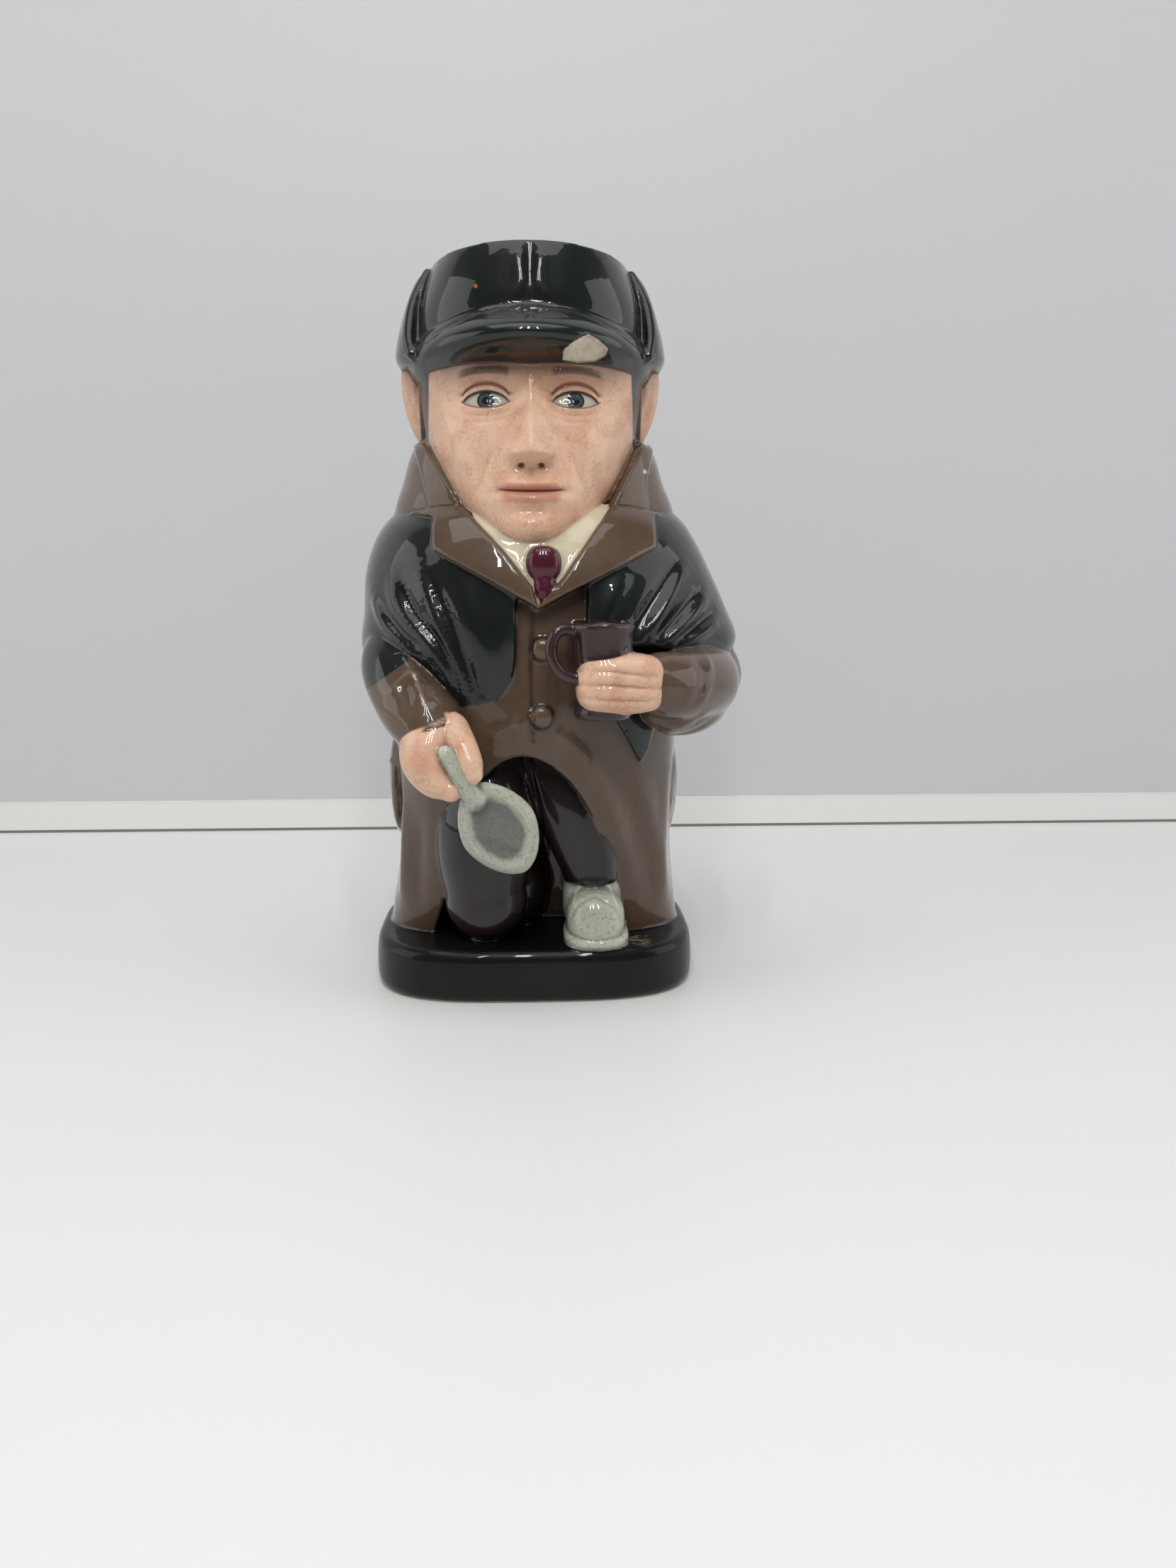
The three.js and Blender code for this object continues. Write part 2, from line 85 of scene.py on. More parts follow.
# %% Smooth tables
def between(rows, t):
    rows = np.asarray(rows, float)
    keys = rows[:, 0]
    t = np.clip(t, keys[0], keys[-1])
    i = np.clip(np.searchsorted(keys, t, side="right") - 1, 0, len(keys) - 2)
    before = np.maximum(i - 1, 0)
    after = np.minimum(i + 2, len(keys) - 1)
    span = (keys[i + 1] - keys[i])[..., None]
    s = (t - keys[i])[..., None] / span
    start, end = rows[i], rows[i + 1]
    slope_in = (end - rows[before]) / (keys[i + 1] - keys[before])[..., None] * span
    slope_out = (rows[after] - start) / (keys[after] - keys[i])[..., None] * span
    return (
        start * (1 + 2 * s) * (1 - s) ** 2
        + slope_in * s * (1 - s) ** 2
        + end * s * s * (3 - 2 * s)
        + slope_out * s * s * (s - 1)
    )


def smooth_line(points, count):
    table = [(i, *p) for i, p in enumerate(points)]
    return between(table, np.linspace(0, len(points) - 1, count))[:, 1:]


def curved(value, power):
    return np.sign(value) * np.abs(value) ** power


# %% [markdown]
# ## Four ways to make a form
#
# A *tower* is a filled circle extruded upwards ring by ring. Its vertices are then moved, all at once, to
# where the form needs them. A loft, a limb and a prism are towers, and a lump is a sphere. Working this
# way keeps every form closed, which the melting step further on relies on.

# %% Tower, loft, lump, limb and prism
def tower(name, around, levels, fill="TRIFAN"):
    bpy.ops.object.select_all(action="DESELECT")
    bpy.ops.mesh.primitive_circle_add(vertices=around, radius=1, fill_type=fill)
    piece = bpy.context.object
    piece.name = name
    bpy.ops.object.mode_set(mode="EDIT")
    bpy.ops.mesh.select_all(action="SELECT")
    for _ in range(levels):
        bpy.ops.mesh.extrude_region_move(TRANSFORM_OT_translate={"value": (0, 0, 1)})
    bpy.ops.object.mode_set(mode="OBJECT")
    return piece


def places(piece):
    co = np.empty(len(piece.data.vertices) * 3)
    piece.data.vertices.foreach_get("co", co)
    return co.reshape(-1, 3)


def reshape(piece, move):
    piece.data.vertices.foreach_set("co", (move(places(piece)) * MM).ravel())
    piece.data.update()
    bpy.ops.object.select_all(action="DESELECT")
    piece.select_set(True)
    bpy.context.view_layer.objects.active = piece
    bpy.ops.object.mode_set(mode="EDIT")
    bpy.ops.mesh.select_all(action="SELECT")
    bpy.ops.mesh.normals_make_consistent(inside=False)
    bpy.ops.object.mode_set(mode="OBJECT")
    return piece


def loft(name, rows, around=96, levels=36, grow=0, edge=None):
    rows = np.array(rows, float)

    def move(co):
        bearing = np.arctan2(co[:, 0], -co[:, 1])
        low = edge(np.degrees(bearing)) if edge else rows[0, 0]
        height = low + np.round(co[:, 2]) / levels * (rows[-1, 0] - low)
        _, left, right, front, back, square = between(rows, height).T
        wide = np.where(bearing > 0, right, left) + grow
        deep = np.where(np.abs(bearing) < np.pi / 2, -front, back) + grow
        x = curved(np.sin(bearing), 2 / square) * wide
        y = -curved(np.cos(bearing), 2 / square) * deep
        middle = np.hypot(co[:, 0], co[:, 1]) < 0.5
        x = np.where(middle, (right - left) / 2, x)
        y = np.where(middle, (front + back) / 2, y)
        return np.column_stack([x, y, height])

    return reshape(tower(name, around, levels), move)


def lump(name, centre, half, turn=(0, 0, 0), power=1.0, detail=32):
    bpy.ops.object.select_all(action="DESELECT")
    bpy.ops.mesh.primitive_uv_sphere_add(segments=detail, ring_count=detail * 5 // 8, radius=1)
    piece = bpy.context.object
    piece.name = name
    turned = np.array(Euler(np.radians(turn)).to_matrix())
    return reshape(piece, lambda co: (curved(co, power) * half) @ turned.T + centre)


def limb(name, points, around=20, levels=24, flat=1.0, dome=4):
    points = np.array(points, float)
    way = smooth_line(points, levels + 1)
    centre, radius = way[:, :3], way[:, 3]
    along = np.gradient(centre, axis=0)
    along /= np.linalg.norm(along, axis=1)[:, None]
    side = np.cross(along[0], (0.31, 0.17, 0.93))
    sides = []
    for direction in along:
        side = side - direction * side.dot(direction)
        side = side / np.linalg.norm(side)
        sides.append(side)
    sides = np.array(sides)
    ups = np.cross(along, sides)

    def move(co):
        ring = np.round(co[:, 2]).astype(int)
        body = np.clip(ring - dome, 0, levels)
        past = (ring - dome) - body
        angle = np.abs(past) / dome * np.pi / 2
        r = radius[body] * np.cos(angle)
        r = np.where(np.hypot(co[:, 0], co[:, 1]) < 0.5, 0, r)
        reach = np.sign(past) * radius[body] * np.sin(angle)
        bearing = np.arctan2(co[:, 1], co[:, 0])
        return (
            centre[body]
            + along[body] * reach[:, None]
            + sides[body] * (r * np.cos(bearing))[:, None]
            + ups[body] * (r * np.sin(bearing) * flat)[:, None]
        )

    return reshape(tower(name, around, levels + 2 * dome), move)


def prism(name, outline, near, far, narrow=1.0):
    outline = np.array(outline, float)
    count = len(outline)

    def move(co):
        corner = np.round(np.arctan2(co[:, 1], co[:, 0]) / (2 * np.pi) * count).astype(int) % count
        back = np.round(co[:, 2]) > 0
        x, z = outline[corner].T
        return np.column_stack([np.where(back, x * narrow, x), np.where(back, far, near), z])

    return reshape(tower(name, count, 1, fill="NGON"), move)


# %% [markdown]
# ## Cutting
#
# The Manifold boolean solver joins and cuts closed meshes quickly, however dense they are. Each tool is
# used up by its cut, like a wire drawn through clay.

# %% Cutting
def cut(piece, tool, operation="DIFFERENCE"):
    bpy.ops.object.select_all(action="DESELECT")
    piece.select_set(True)
    bpy.context.view_layer.objects.active = piece
    modifier = piece.modifiers.new("cut", "BOOLEAN")
    modifier.operation = operation
    modifier.solver = "MANIFOLD"
    modifier.object = tool
    bpy.ops.object.modifier_apply(modifier=modifier.name)
    bpy.data.objects.remove(tool)
    return piece


# %% [markdown]
# ## The palette
#
# Each form remembers the colour it will be painted in. `painted` keeps the list, and the brush work at
# the end reads from it how far every point of the skin is from each colour.

# %% Painted forms
forms = {}


def painted(colour, *pieces):
    forms.setdefault(colour, []).extend(pieces)
    return pieces


# %% [markdown]
# ## Plinth and coat
#
# The plinth is a slab with rounded corners. The coat is a long bell that stands on it, squarer than an
# ellipse, and open in front from the last button down. The opening is a wedge, because the coat's edges
# turn in towards the knees.

# %% Plinth and coat
def plinth_row(height, inset):
    return (height, 53 - inset, 53 - inset, -44 + inset, 44 - inset, 3.4)


PLINTH = [
    plinth_row(0, 1.8), plinth_row(1.6, 0.5), plinth_row(4, 0), plinth_row(12, 0.2),
    plinth_row(15.4, 0.9), plinth_row(PLINTH_TOP, 2.4),
]
COAT = [
    (14, 49.6, 49.4, -24, 41, 2.8),
    (28, 47.6, 47.8, -29, 40, 2.7),
    (43, 45.4, 46.6, -34, 38.5, 2.6),
    (58, 44.6, 46.8, -39.5, 38, 2.5),
    (72, 45.4, 47.4, -43.2, 38, 2.5),
    (86, 45, 47, -45.4, 38.5, 2.5),
    (104, 44, 46, -45.4, 40, 2.4),
    (122, 42, 44, -43.8, 40, 2.3),
    (138, 38, 40, -40, 38, 2.2),
    (152, 32, 34, -34, 34, 2.1),
]
OPENING = [
    (-46, 10), (-32.5, 40), (-28, 62), (-14, 75.5), (-1, COAT_OPEN_TOP),
    (12, 71.5), (22, 58), (27.6, 43), (41, 10),
]
painted("black", loft("plinth", PLINTH, around=120, levels=24))
coat = loft("coat", COAT, levels=60)
cut(coat, prism("coat_opening", smooth_line(OPENING, 80), -80, -5, narrow=0.72))
painted("coat", coat)
painted("coat", *[lump("pocket", (side * 45.2, -2, 64), (3.4, 13, 18)) for side in (-1, 1)])
print("coat has", len(coat.data.polygons), "faces")

# %% [markdown]
# ## Legs and shoe
#
# One knee rests on the plinth and the other leg has its foot forward. The trousers fill the coat's
# opening, so a lap lies behind the two thighs. The shoe is an ankle, a rounded toe and a welt.

# %% Legs and shoe
THIGH = [(-11, -16, 82, 12), (-15, -26.5, 62, 14.6), (-16, -28, 46, 15.2), (-15.8, -28, 30, 12.4)]
LEG_WAY = [(36, 18.2, -23), (39, 18, -23.4), (50, 14.8, -24), (62, 10, -22.6), (74, 4, -20), (84, -1, -17)]
LEG = [
    (36, 8.8, 8.8, -11, 11, 2.8),
    (39, 9.6, 9.6, -11.8, 11, 2.8),
    (50, 11.7, 11.7, -13, 13, 2.5),
    (62, 13, 13, -15, 15, 2.4),
    (74, 13, 13, -15, 15, 2.2),
    (84, 13, 13, -13, 13, 2.2),
]


def along_leg(co):
    way = between(LEG_WAY, co[:, 2] / MM)
    return co / MM + np.column_stack([way[:, 1], way[:, 2], np.zeros(len(co))])


painted(
    "trousers",
    limb("thigh", THIGH, around=48),
    lump("knee", (-15.6, -28, 30.4), (13.2, 13.4, 13.6), detail=64),
    reshape(loft("leg", LEG, around=64, levels=40), along_leg),
    lump("lap", (-1, -14, 66), (22, 18, 16)),
    lump("calf", (-3, -8, 30), (8, 12, 15)),
)
painted(
    "pewter",
    lump("ankle", (18.6, -22, 29), (9.6, 11.4, 13), power=0.76, detail=48),
    lump("toe", (19.4, -31.5, 24.2), (9.4, 12.2, 9.2), turn=(-14, 0, 0), power=0.74, detail=64),
    lump("welt", (19.6, -30, 19.2), (10.6, 14.2, 3.4), power=0.72, detail=48),
)
print(len(forms["trousers"]), "forms of the trousers,", len(forms["pewter"]), "of the shoe")

# %% [markdown]
# ## The cape
#
# The cape hangs over both shoulders. Its hem climbs over the forearms and falls between them, so its
# lower edge is a table of heights by bearing, read by the loft. A prism opens it in front. Its folds come
# later, when the figure is one skin, because they run on from the cape into what lies under it.

# %% The cape
CAPE = [
    (84, 46.5, 48, -42, 43, 2.4),
    (96, 50, 55, -45.6, 45, 2.4),
    (106, 55.2, 64.5, -47, 46, 2.3),
    (113, 56.1, 67.6, -47.6, 46, 2.3),
    (121, 55, 64.6, -47.6, 45, 2.3),
    (134, 54, 58.6, -46, 43, 2.3),
    (145, 50.4, 53, -41.6, 40.8, 2.2),
    (152, 45, 47.6, -36, 36.6, 2.1),
    (158, 36, 37, -28, 29, 2),
]
HEM = [
    (-180, 94), (-125, 96), (-95, 98), (-72, 101.5), (-50, 109.5), (-38, 106.5),
    (-30, 94), (-24, 82), (-17, 84), (-9, 96), (0, 110), (20, 112.4),
    (40, 110.6), (58, 108), (78, 102.5), (105, 98), (140, 95), (180, 94),
]
CAPE_OPENING = [
    (-19, 79), (-12.6, 87), (-7.6, 97), (-5.4, 108), (-5, 126),
    (1.5, 132), (16.6, 130), (16.4, 117), (19, 111), (19, 82),
]
CAPE_TAIL = [(20.5, 96), (25, 90), (29, 83.5), (33, 76), (35.4, 79), (37.6, 87), (39, 96)]


def hem(bearing):
    return between(HEM, bearing)[..., 1]


cape = loft("cape", CAPE, around=180, levels=48, edge=hem)
cut(cape, prism("cape_opening", CAPE_OPENING, -80, -30))
coat_front = loft("cape_tail", COAT, around=120, grow=2.4)
tail = cut(coat_front, prism("tail_outline", CAPE_TAIL, -60, -25), operation="INTERSECT")
painted("cape", cape, tail)
print("cape has", len(cape.data.polygons), "faces")

# %% [markdown]
# ## Collar, shirt and tie
#
# The collar is a ring round the neck with a window cut in front. The lapels are the overlap of two flat
# outlines with a copy of the cape that has grown a little, so they lie on the chest with an even
# thickness, and two more such overlaps carry them up the collar. The shirt shows between them on a
# smaller copy of the chest.

# %% Collar and lapels
COLLAR = [
    (146, 42, 44, -34, 36.4, 2.1),
    (152, 44.6, 46.6, -35, 38.4, 2.1),
    (162, 41.6, 43, -34, 38.6, 2.1),
    (COLLAR_TOP - 3, 38.4, 39.6, -32.6, 38.6, 2.1),
    (COLLAR_TOP, 35.6, 36.8, -31, 36.8, 2.1),
]
COLLAR_WINDOW = [
    (-60, 200), (-37.8, COLLAR_TOP), (-32.6, 172), (-21.6, 154), (-15, 146.5), (0, 138), (19, 146.5),
    (24.6, 154), (34.6, 172), (39.6, COLLAR_TOP), (60, 200),
]
LAPELS = [
    [
        (-37.6, 152), (-29.6, 150.5), (-29.6, 140.6), (-13, 131.8),
        (1.4, 123.6), (-0.4, 129.6), (-8.2, 139.5), (-21.6, 154),
    ],
    [
        (40, 152), (37.4, 150.5), (37.4, 141.2), (20, 132.6),
        (1.2, 123), (8.8, 131.5), (14.4, 139.5), (24.6, 154),
    ],
]
COLLAR_FRONTS = [
    [(-38, 176), (-33.4, 162), (-31.4, 152), (-30.4, 144), (-20, 144), (-21.6, 154), (-32.6, 172)],
    [(40, 176), (35.8, 162), (36.4, 152), (37.4, 144), (20, 144), (24.6, 154), (34.6, 172)],
]
SHIRT = [(-19, 154), (-13, 143), (1.5, 124.6), (19, 143), (24, 154)]
collar = cut(loft("collar", COLLAR), prism("collar_window", COLLAR_WINDOW, -60, -13, narrow=0.94))
painted("coat", collar)
for outline in LAPELS:
    chest = loft("lapel", CAPE, around=160, levels=60, grow=2.6)
    painted("coat", cut(chest, prism("lapel_outline", outline, -60, -10), operation="INTERSECT"))
for outline in COLLAR_FRONTS:
    ring = loft("collar_front", COLLAR, around=160, levels=60, grow=1.3)
    painted("coat", cut(ring, prism("collar_outline", outline, -60, -10), operation="INTERSECT"))
print("coat, collar and lapels:", len(forms["coat"]), "forms")

# %% Shirt, tie and buttons
BUTTONS = [(3, -45.4, 111.2), (2.4, -46, 91)]
chest = loft("shirt", CAPE, around=120, grow=0.7)
painted("shirt", cut(chest, prism("shirt_outline", SHIRT, -60, -10), operation="INTERSECT"))
painted(
    "tie",
    lump("knot", (3.4, -45.8, 136.2), (4.9, 3.4, 5.2), power=0.8, detail=48),
    limb("tie_end", [(3.6, -45.2, 132, 3.5), (3.8, -46.2, 128, 3.4), (3.4, -46.4, 124.6, 1.6)], dome=3),
)
painted("coat", *[lump("button", place, (3.4, 2.2, 3.4), power=0.85, detail=48) for place in BUTTONS])
print(len(BUTTONS), "buttons")

# %% [markdown]
# ## Arms, hands and what they hold
#
# The figure's right hand hangs in front of the knee with a garden trowel, whose blade is a leaf with a
# hollow face. The left forearm lies across the coat and its fist holds a small mug by the chest.
# Slip-cast hands are simple: a mitten and a thumb, with the fingers only drawn in the clay.

# %% Right arm and trowel
TROWEL_TOP = (-25.6, -58.4, 82.4)
TROWEL_NECK = (-19.6, -57.4, 72)
TROWEL_MIDDLE = (-10.6, -53, 58.5)
TROWEL_TURN = (6, -30.1, 0)
RIGHT_SLEEVE = [(-40, -8, 114, 9), (-42.6, -23.4, 106, 11.2), (-37, -38, 95, 11), (-30.8, -44.4, 87.4, 10.4)]
RIGHT_MITTEN = [
    (-29.6, -45.6, 87, 9), (-31, -49.4, 79.6, 8.8), (-28.6, -53, 74, 6.6), (-24.4, -56.4, 70.6, 3.4),
]
RIGHT_THUMB = [(-24, -48.6, 88, 5), (-20.8, -53.6, 83, 4.5), (-18.4, -57, 78, 3.9), (-17.4, -58.4, 75.8, 2.8)]
painted("coat", limb("right_sleeve", RIGHT_SLEEVE, around=48, dome=3))
painted(
    "skin",
    limb("right_mitten", RIGHT_MITTEN, around=40, levels=32),
    limb("right_thumb", RIGHT_THUMB, around=28),
)
x, y, z = TROWEL_MIDDLE
blade = lump("blade", TROWEL_MIDDLE, (11.8, 5.4, 16), turn=TROWEL_TURN, power=1.18, detail=64)
scoop = lump("scoop", (x, y - 5, z), (9.6, 4.8, 13.8), turn=TROWEL_TURN, power=1.1, detail=64)
painted("pewter", cut(blade, scoop))
painted("pewter", limb("trowel_shaft", [(*TROWEL_TOP, 2.2), (*TROWEL_NECK, 2.9), (-17, -56, 67.6, 3.4)]))
print("blade has", len(blade.data.polygons), "faces")

# %% Left arm and mug
MUG_CENTRE = (20.4, -49.6)
MUG = [(91, 8.2), (92.6, 8.8), (95, 8.2), (104, 8.8), (115, 9.4), (118.4, 10.2), (119.2, 9.6)]
MUG_INSIDE = [(110.4, 6.8), (113, 7), (121, 7.6)]
MUG_EAR = [
    (13, -53, 117, 1.9), (7.4, -55.2, 117, 1.8), (5.2, -56, 111, 1.8),
    (8, -56, 105, 1.8), (13, -55, 103, 1.9),
]
LEFT_SLEEVE = [(56, -6, 101, 12), (53, -26, 99.4, 11.8), (44, -42, 100, 10.6), (37, -48, 101, 9.6)]
SLEEVE_DRAPE = [(58, -8, 98, 9), (52, -26, 93, 9), (43, -38, 91, 7), (38, -42, 92, 5)]


def round_loft(name, rows, levels=24):
    x, y = MUG_CENTRE

    def move(co):
        height = rows[0][0] + np.round(co[:, 2]) / levels * (rows[-1][0] - rows[0][0])
        radius = between(rows, height)[:, 1]
        return np.column_stack([x + co[:, 0] * radius, y + co[:, 1] * radius, height])

    return reshape(tower(name, 64, levels), move)


painted(
    "coat",
    lump("left_elbow", (55.6, -8, 100.5), (13.4, 14, 13.6), detail=48),
    limb("left_sleeve", LEFT_SLEEVE, around=48, dome=3),
    limb("sleeve_drape", SLEEVE_DRAPE, around=36),
)
painted("skin", lump("left_fist", (25.6, -51.4, 101.6), (13.2, 9, 9), turn=(0, 0, 4), power=0.64, detail=64))
mug = cut(round_loft("mug", MUG), round_loft("mug_inside", MUG_INSIDE))
painted("mug", mug, limb("mug_ear", MUG_EAR))
print("mug is", round(MUG[-1][0] - MUG[0][0], 1), "mm high")

# %% [markdown]
# ## Head and face
#
# The head is an egg whose front is pushed out by a table of soft bumps and hollows: the nose, the eye
# sockets, the cheeks, the lips and the chin. `bell` is one such bump. The eyes, lids and lips get their
# finer lines after the melting, when the skin has enough points to carry them.

# %% Head and ears
HEAD = [
    (139.4, 10, 10, -33, 24, 2),
    (142, 15.6, 15.6, -42, 27, 2.2),
    (147, 20.4, 20.4, -44.8, 30, 2.4),
    (154, 25.6, 25.6, -44.8, 32, 2.4),
    (163, 30.2, 30.2, -43, 33.6, 2.4),
    (173, 33.2, 33.2, -41.4, 35, 2.4),
    (185, 35, 35, -39.8, 36.4, 2.4),
    (198, 36, 36, -39, 37, 2.4),
    (204, 35, 35, -38, 36.5, 2.4),
]


def bell(x, z, cx, cz, wide, tall):
    return np.exp(-(((x - cx) / wide) ** 2) - ((z - cz) / tall) ** 2)


def smoothstep(value, low, high):
    s = np.clip((value - low) / (high - low), 0, 1)
    return s * s * (3 - 2 * s)


def face(x, z):
    side = np.abs(x)
    ridge = smoothstep(z, NOSE_BASE - 1.6, NOSE_BASE + 3)
    bridge = np.clip((EYE_LINE + 5 - z) / 18, 0, 1)
    fade = 1 - smoothstep(z, EYE_LINE + 3, EYE_LINE + 9)
    nose = (1.4 + 6.6 * bridge**1.3) * ridge * fade * np.exp(-((x / (2.8 + 1.8 * bridge)) ** 2))
    return (
        nose
        + 3 * ridge * bell(side, z, 4.9, NOSE_BASE + 2.6, 2.4, 2.8)
        + 1.5 * bell(side, z, 12, EYE_LINE + 8, 10, 3)
        - 3.2 * bell(side, z, 11.4, EYE_LINE + 0.6, 8, 4.6)
        + 2.6 * bell(side, z, EYE_OUT, EYE_LINE, 5, 2.8)
        + 1.8 * bell(side, z, 18.6, EYE_LINE - 13, 8, 7.6)
        + 1.5 * bell(x, z, 0, MOUTH_LINE + 1, 12, 7)
        + 1.5 * bell(x, z, 0, MOUTH_LINE + 2, 7.4, 1.6)
        - 1.7 * bell(x, z, 0, MOUTH_LINE, 9, 0.9)
        + 1.7 * bell(x, z, 0, MOUTH_LINE - 2.2, 6.6, 1.8)
        - 1.3 * bell(x, z, 0, MOUTH_LINE - 5.8, 6.4, 1.7)
        + 2.4 * bell(x, z, 0, CHIN + 5.6, 7, 4)
    )


def pushed(co):
    x, y, z = (co / MM).T
    return np.column_stack([x, y - face(x, z) * np.clip(-y / 20, 0, 1), z])


head = reshape(loft("head", HEAD, around=300, levels=130), pushed)
painted("skin", head)
for side in (-1, 1):
    ear = lump("ear", (side * 36, -2, 187), (4.6, 7.6, 14), turn=(0, side * 12, 0), detail=48)
    painted("skin", ear)
print("head has", len(head.data.polygons), "faces")

# %% [markdown]
# ## The cap
#
# The cap is a crown with a crease in front, a band turned up round the sides and back, and a peak. The
# band is cut off by a leaning block, and its front edges are finished with a rolled seam.

# %% Cap
CROWN = [
    (CAP_EDGE - 2, 37, 37, -39.4, 38, 2.3),
    (205, 36.6, 36.6, -40, 38.4, 2.3),
    (213, 35.4, 35.4, -39.8, 37.8, 2.3),
    (221, 33.2, 33.2, -38.6, 36, 2.2),
    (HEIGHT - 1, 30.6, 30.6, -36.6, 34, 2.2),
]
BAND = [
    (CAP_EDGE - 0.6, 40.6, 41, -41, 40.6, 2.2),
    (CAP_EDGE + 3, 42.8, 43, -42.6, 42.4, 2.2),
    (212, 40.2, 40.4, -42, 41.6, 2.2),
    (221, 36.6, 36.8, -40, 38.8, 2.2),
    (225.6, 33.4, 33.6, -37.6, 36, 2.2),
]
PEAK = [
    (193.4, 36, 36, -40, 0, 2),
    (198.2, 38.4, 38.4, -50.6, 0, 2),
    (201.4, 38.8, 38.8, -51.6, 0, 2),
    (206, 37.4, 37.4, -46, 0, 2),
    (212, 33, 33, -37, 0, 2),
]
BAND_SEAM = [(31.6, -9.6, 225, 1.3), (35.6, -14, 215, 1.7), (36.8, -19, 205, 1.8), (36, -22.4, 198.6, 1.6)]


def lifted(co, amount):
    return co / MM + np.outer(amount, (0, 0, 1))


def raised_front(co):
    return lifted(co, np.where(co[:, 1] < 0, 1.2 * (co[:, 1] / (38 * MM)) ** 4, 0))


def drooped(co):
    return lifted(co, -3.2 * (co[:, 0] / (38 * MM)) ** 2)


def mirrored(points, side):
    return [(side * point[0], *point[1:]) for point in points]


crown = reshape(loft("crown", CROWN, around=128, levels=40), raised_front)
cut(crown, limb("crease", [(0, -43.4, 211, 2), (0, -42, 218, 3.4), (0, -40.6, 232, 4.8)]))
band = loft("band", BAND, around=128)
BAND_LEAN = -0.45
BAND_FRONT_SIZE = (100, 60, 80)
BAND_FRONT_MIDDLE = (0, -48, 214)
bpy.ops.mesh.primitive_cube_add(size=1)
band_front = bpy.context.object
lean = np.array(Euler((BAND_LEAN, 0, 0)).to_matrix())
reshape(band_front, lambda co: (co * BAND_FRONT_SIZE) @ lean.T + BAND_FRONT_MIDDLE)
cut(band, band_front)
seams = [limb("band_seam", mirrored(BAND_SEAM, side), levels=30) for side in (-1, 1)]
painted("cap", crown, band, reshape(loft("peak", PEAK, around=128), drooped), *seams)
print("cap has", len(forms["cap"]), "forms")

# %% Handle
middle = (HANDLE["top"] + HANDLE["low"]) / 2
reach, radius = HANDLE["reach"], HANDLE["radius"]
HANDLE_WAY = [
    (1, 34, HANDLE["top"] - 12, radius + 1),
    (1, 52, HANDLE["top"] - 5, radius),
    (1, reach - radius - 3, HANDLE["top"] - 16, radius),
    (1, reach - radius, middle + 6, radius),
    (1, reach - radius - 6, HANDLE["low"] + 22, radius),
    (1, 50, HANDLE["low"] + 5, radius),
    (1, 34, HANDLE["low"], radius + 1),
]
painted("coat", limb("handle", HANDLE_WAY, levels=60, around=36, flat=1.25))
print("forms to melt:", sum(len(made) for made in forms.values()))

# %% [markdown]
# ## The hollow
#
# Slip casting leaves a wall of even thickness, so the inside follows the outside, one wall further in. It
# is taken out of every form before the melting, which then rounds the lip of the mouth on top of the cap
# as glaze does.

# %% The hollow
def within(rows, height):
    _, left, right, front, back, square = between(rows, height)
    return (height, left - WALL, right - WALL, front + WALL, back - WALL, square)


def behind_legs(height, front):
    row = list(within(COAT, height))
    row[3] = front
    return row


def under_cape(height, share, front, square):
    coat_row, cape_row = within(COAT, height), within(CAPE, height)
    left, right, back = [coat_row[i] + (cape_row[i] - coat_row[i]) * share for i in (1, 2, 4)]
    return (height, left, right, front, back, square)


INSIDE = [
    (7, 38, 38, 4, 33, 2.6),
    behind_legs(13, 2),
    behind_legs(32, 0),
    behind_legs(58, -1),
    behind_legs(COAT_OPEN_TOP, -5),
    behind_legs(91, -37.4),
    behind_legs(102, -41),
    under_cape(107, 0.6, -40.8, 1.9),
    under_cape(121, 1, -38.8, 2.1),
    under_cape(134, 1, -38.6, 2.2),
    under_cape(139, 1, -38.6, 2.2),
    within(CAPE, 146),
    (154, 27.6, 28, -30, 30, 2.3),
    *[within(HEAD, height) for height in (164, 178, 194)],
    *[within(CROWN, height) for height in (207, 221)],
    (HEIGHT + 6, *within(CROWN, HEIGHT - 1)[1:]),
]
INSIDE_THIGH = [
    (-11.5, -19, 86, 6), (-13.5, -23.5, 71, 8.4), (-15, -27, 58, 10),
    (-15.8, -27.6, 44, 10.4), (-15.6, -27.6, 32, 8.4),
]
INSIDE_ELBOW = [(37, -7, 107, 6.4), (47, -8, 103.5, 7.2), (55.4, -8, 101.5, 9.2)]
hollow = loft("hollow", INSIDE, around=96, levels=110)
cut(hollow, limb("inside_thigh", INSIDE_THIGH, around=32), operation="UNION")
cut(hollow, limb("inside_elbow", INSIDE_ELBOW, around=32), operation="UNION")


def tree_of(pieces):
    corners, faces, start = [], [], 0
    for piece in pieces:
        corners.append(places(piece))
        faces += [[start + i for i in face.vertices] for face in piece.data.polygons]
        start += len(piece.data.vertices)
    return BVHTree.FromPolygons([Vector(c) for c in np.concatenate(corners)], faces)


trees = {colour: tree_of(pieces) for colour, pieces in forms.items()}
trees["lining"] = tree_of([hollow])
for piece in sum(forms.values(), []):
    tool = hollow.copy()
    tool.data = hollow.data.copy()
    bpy.context.collection.objects.link(tool)
    cut(piece, tool)
bpy.data.objects.remove(hollow)
print("colours:", ", ".join(trees))

# %% [markdown]
# ## Melting the forms into one skin
#
# A voxel remesh turns the overlapping forms into a single closed skin, just as slip fills a mould. A
# little smoothing then takes away its steps. The search trees of the last cell remember where each colour
# goes.

# %% Melt
bpy.ops.object.select_all(action="DESELECT")
for piece in sum(forms.values(), []):
    piece.select_set(True)
jug = forms["black"][0]
bpy.context.view_layer.objects.active = jug
bpy.ops.object.join()
jug.name = "jug"
remesh = jug.modifiers.new("melt", "REMESH")
remesh.mode = "VOXEL"
remesh.voxel_size = GRAIN * MM
bpy.ops.object.modifier_apply(modifier=remesh.name)


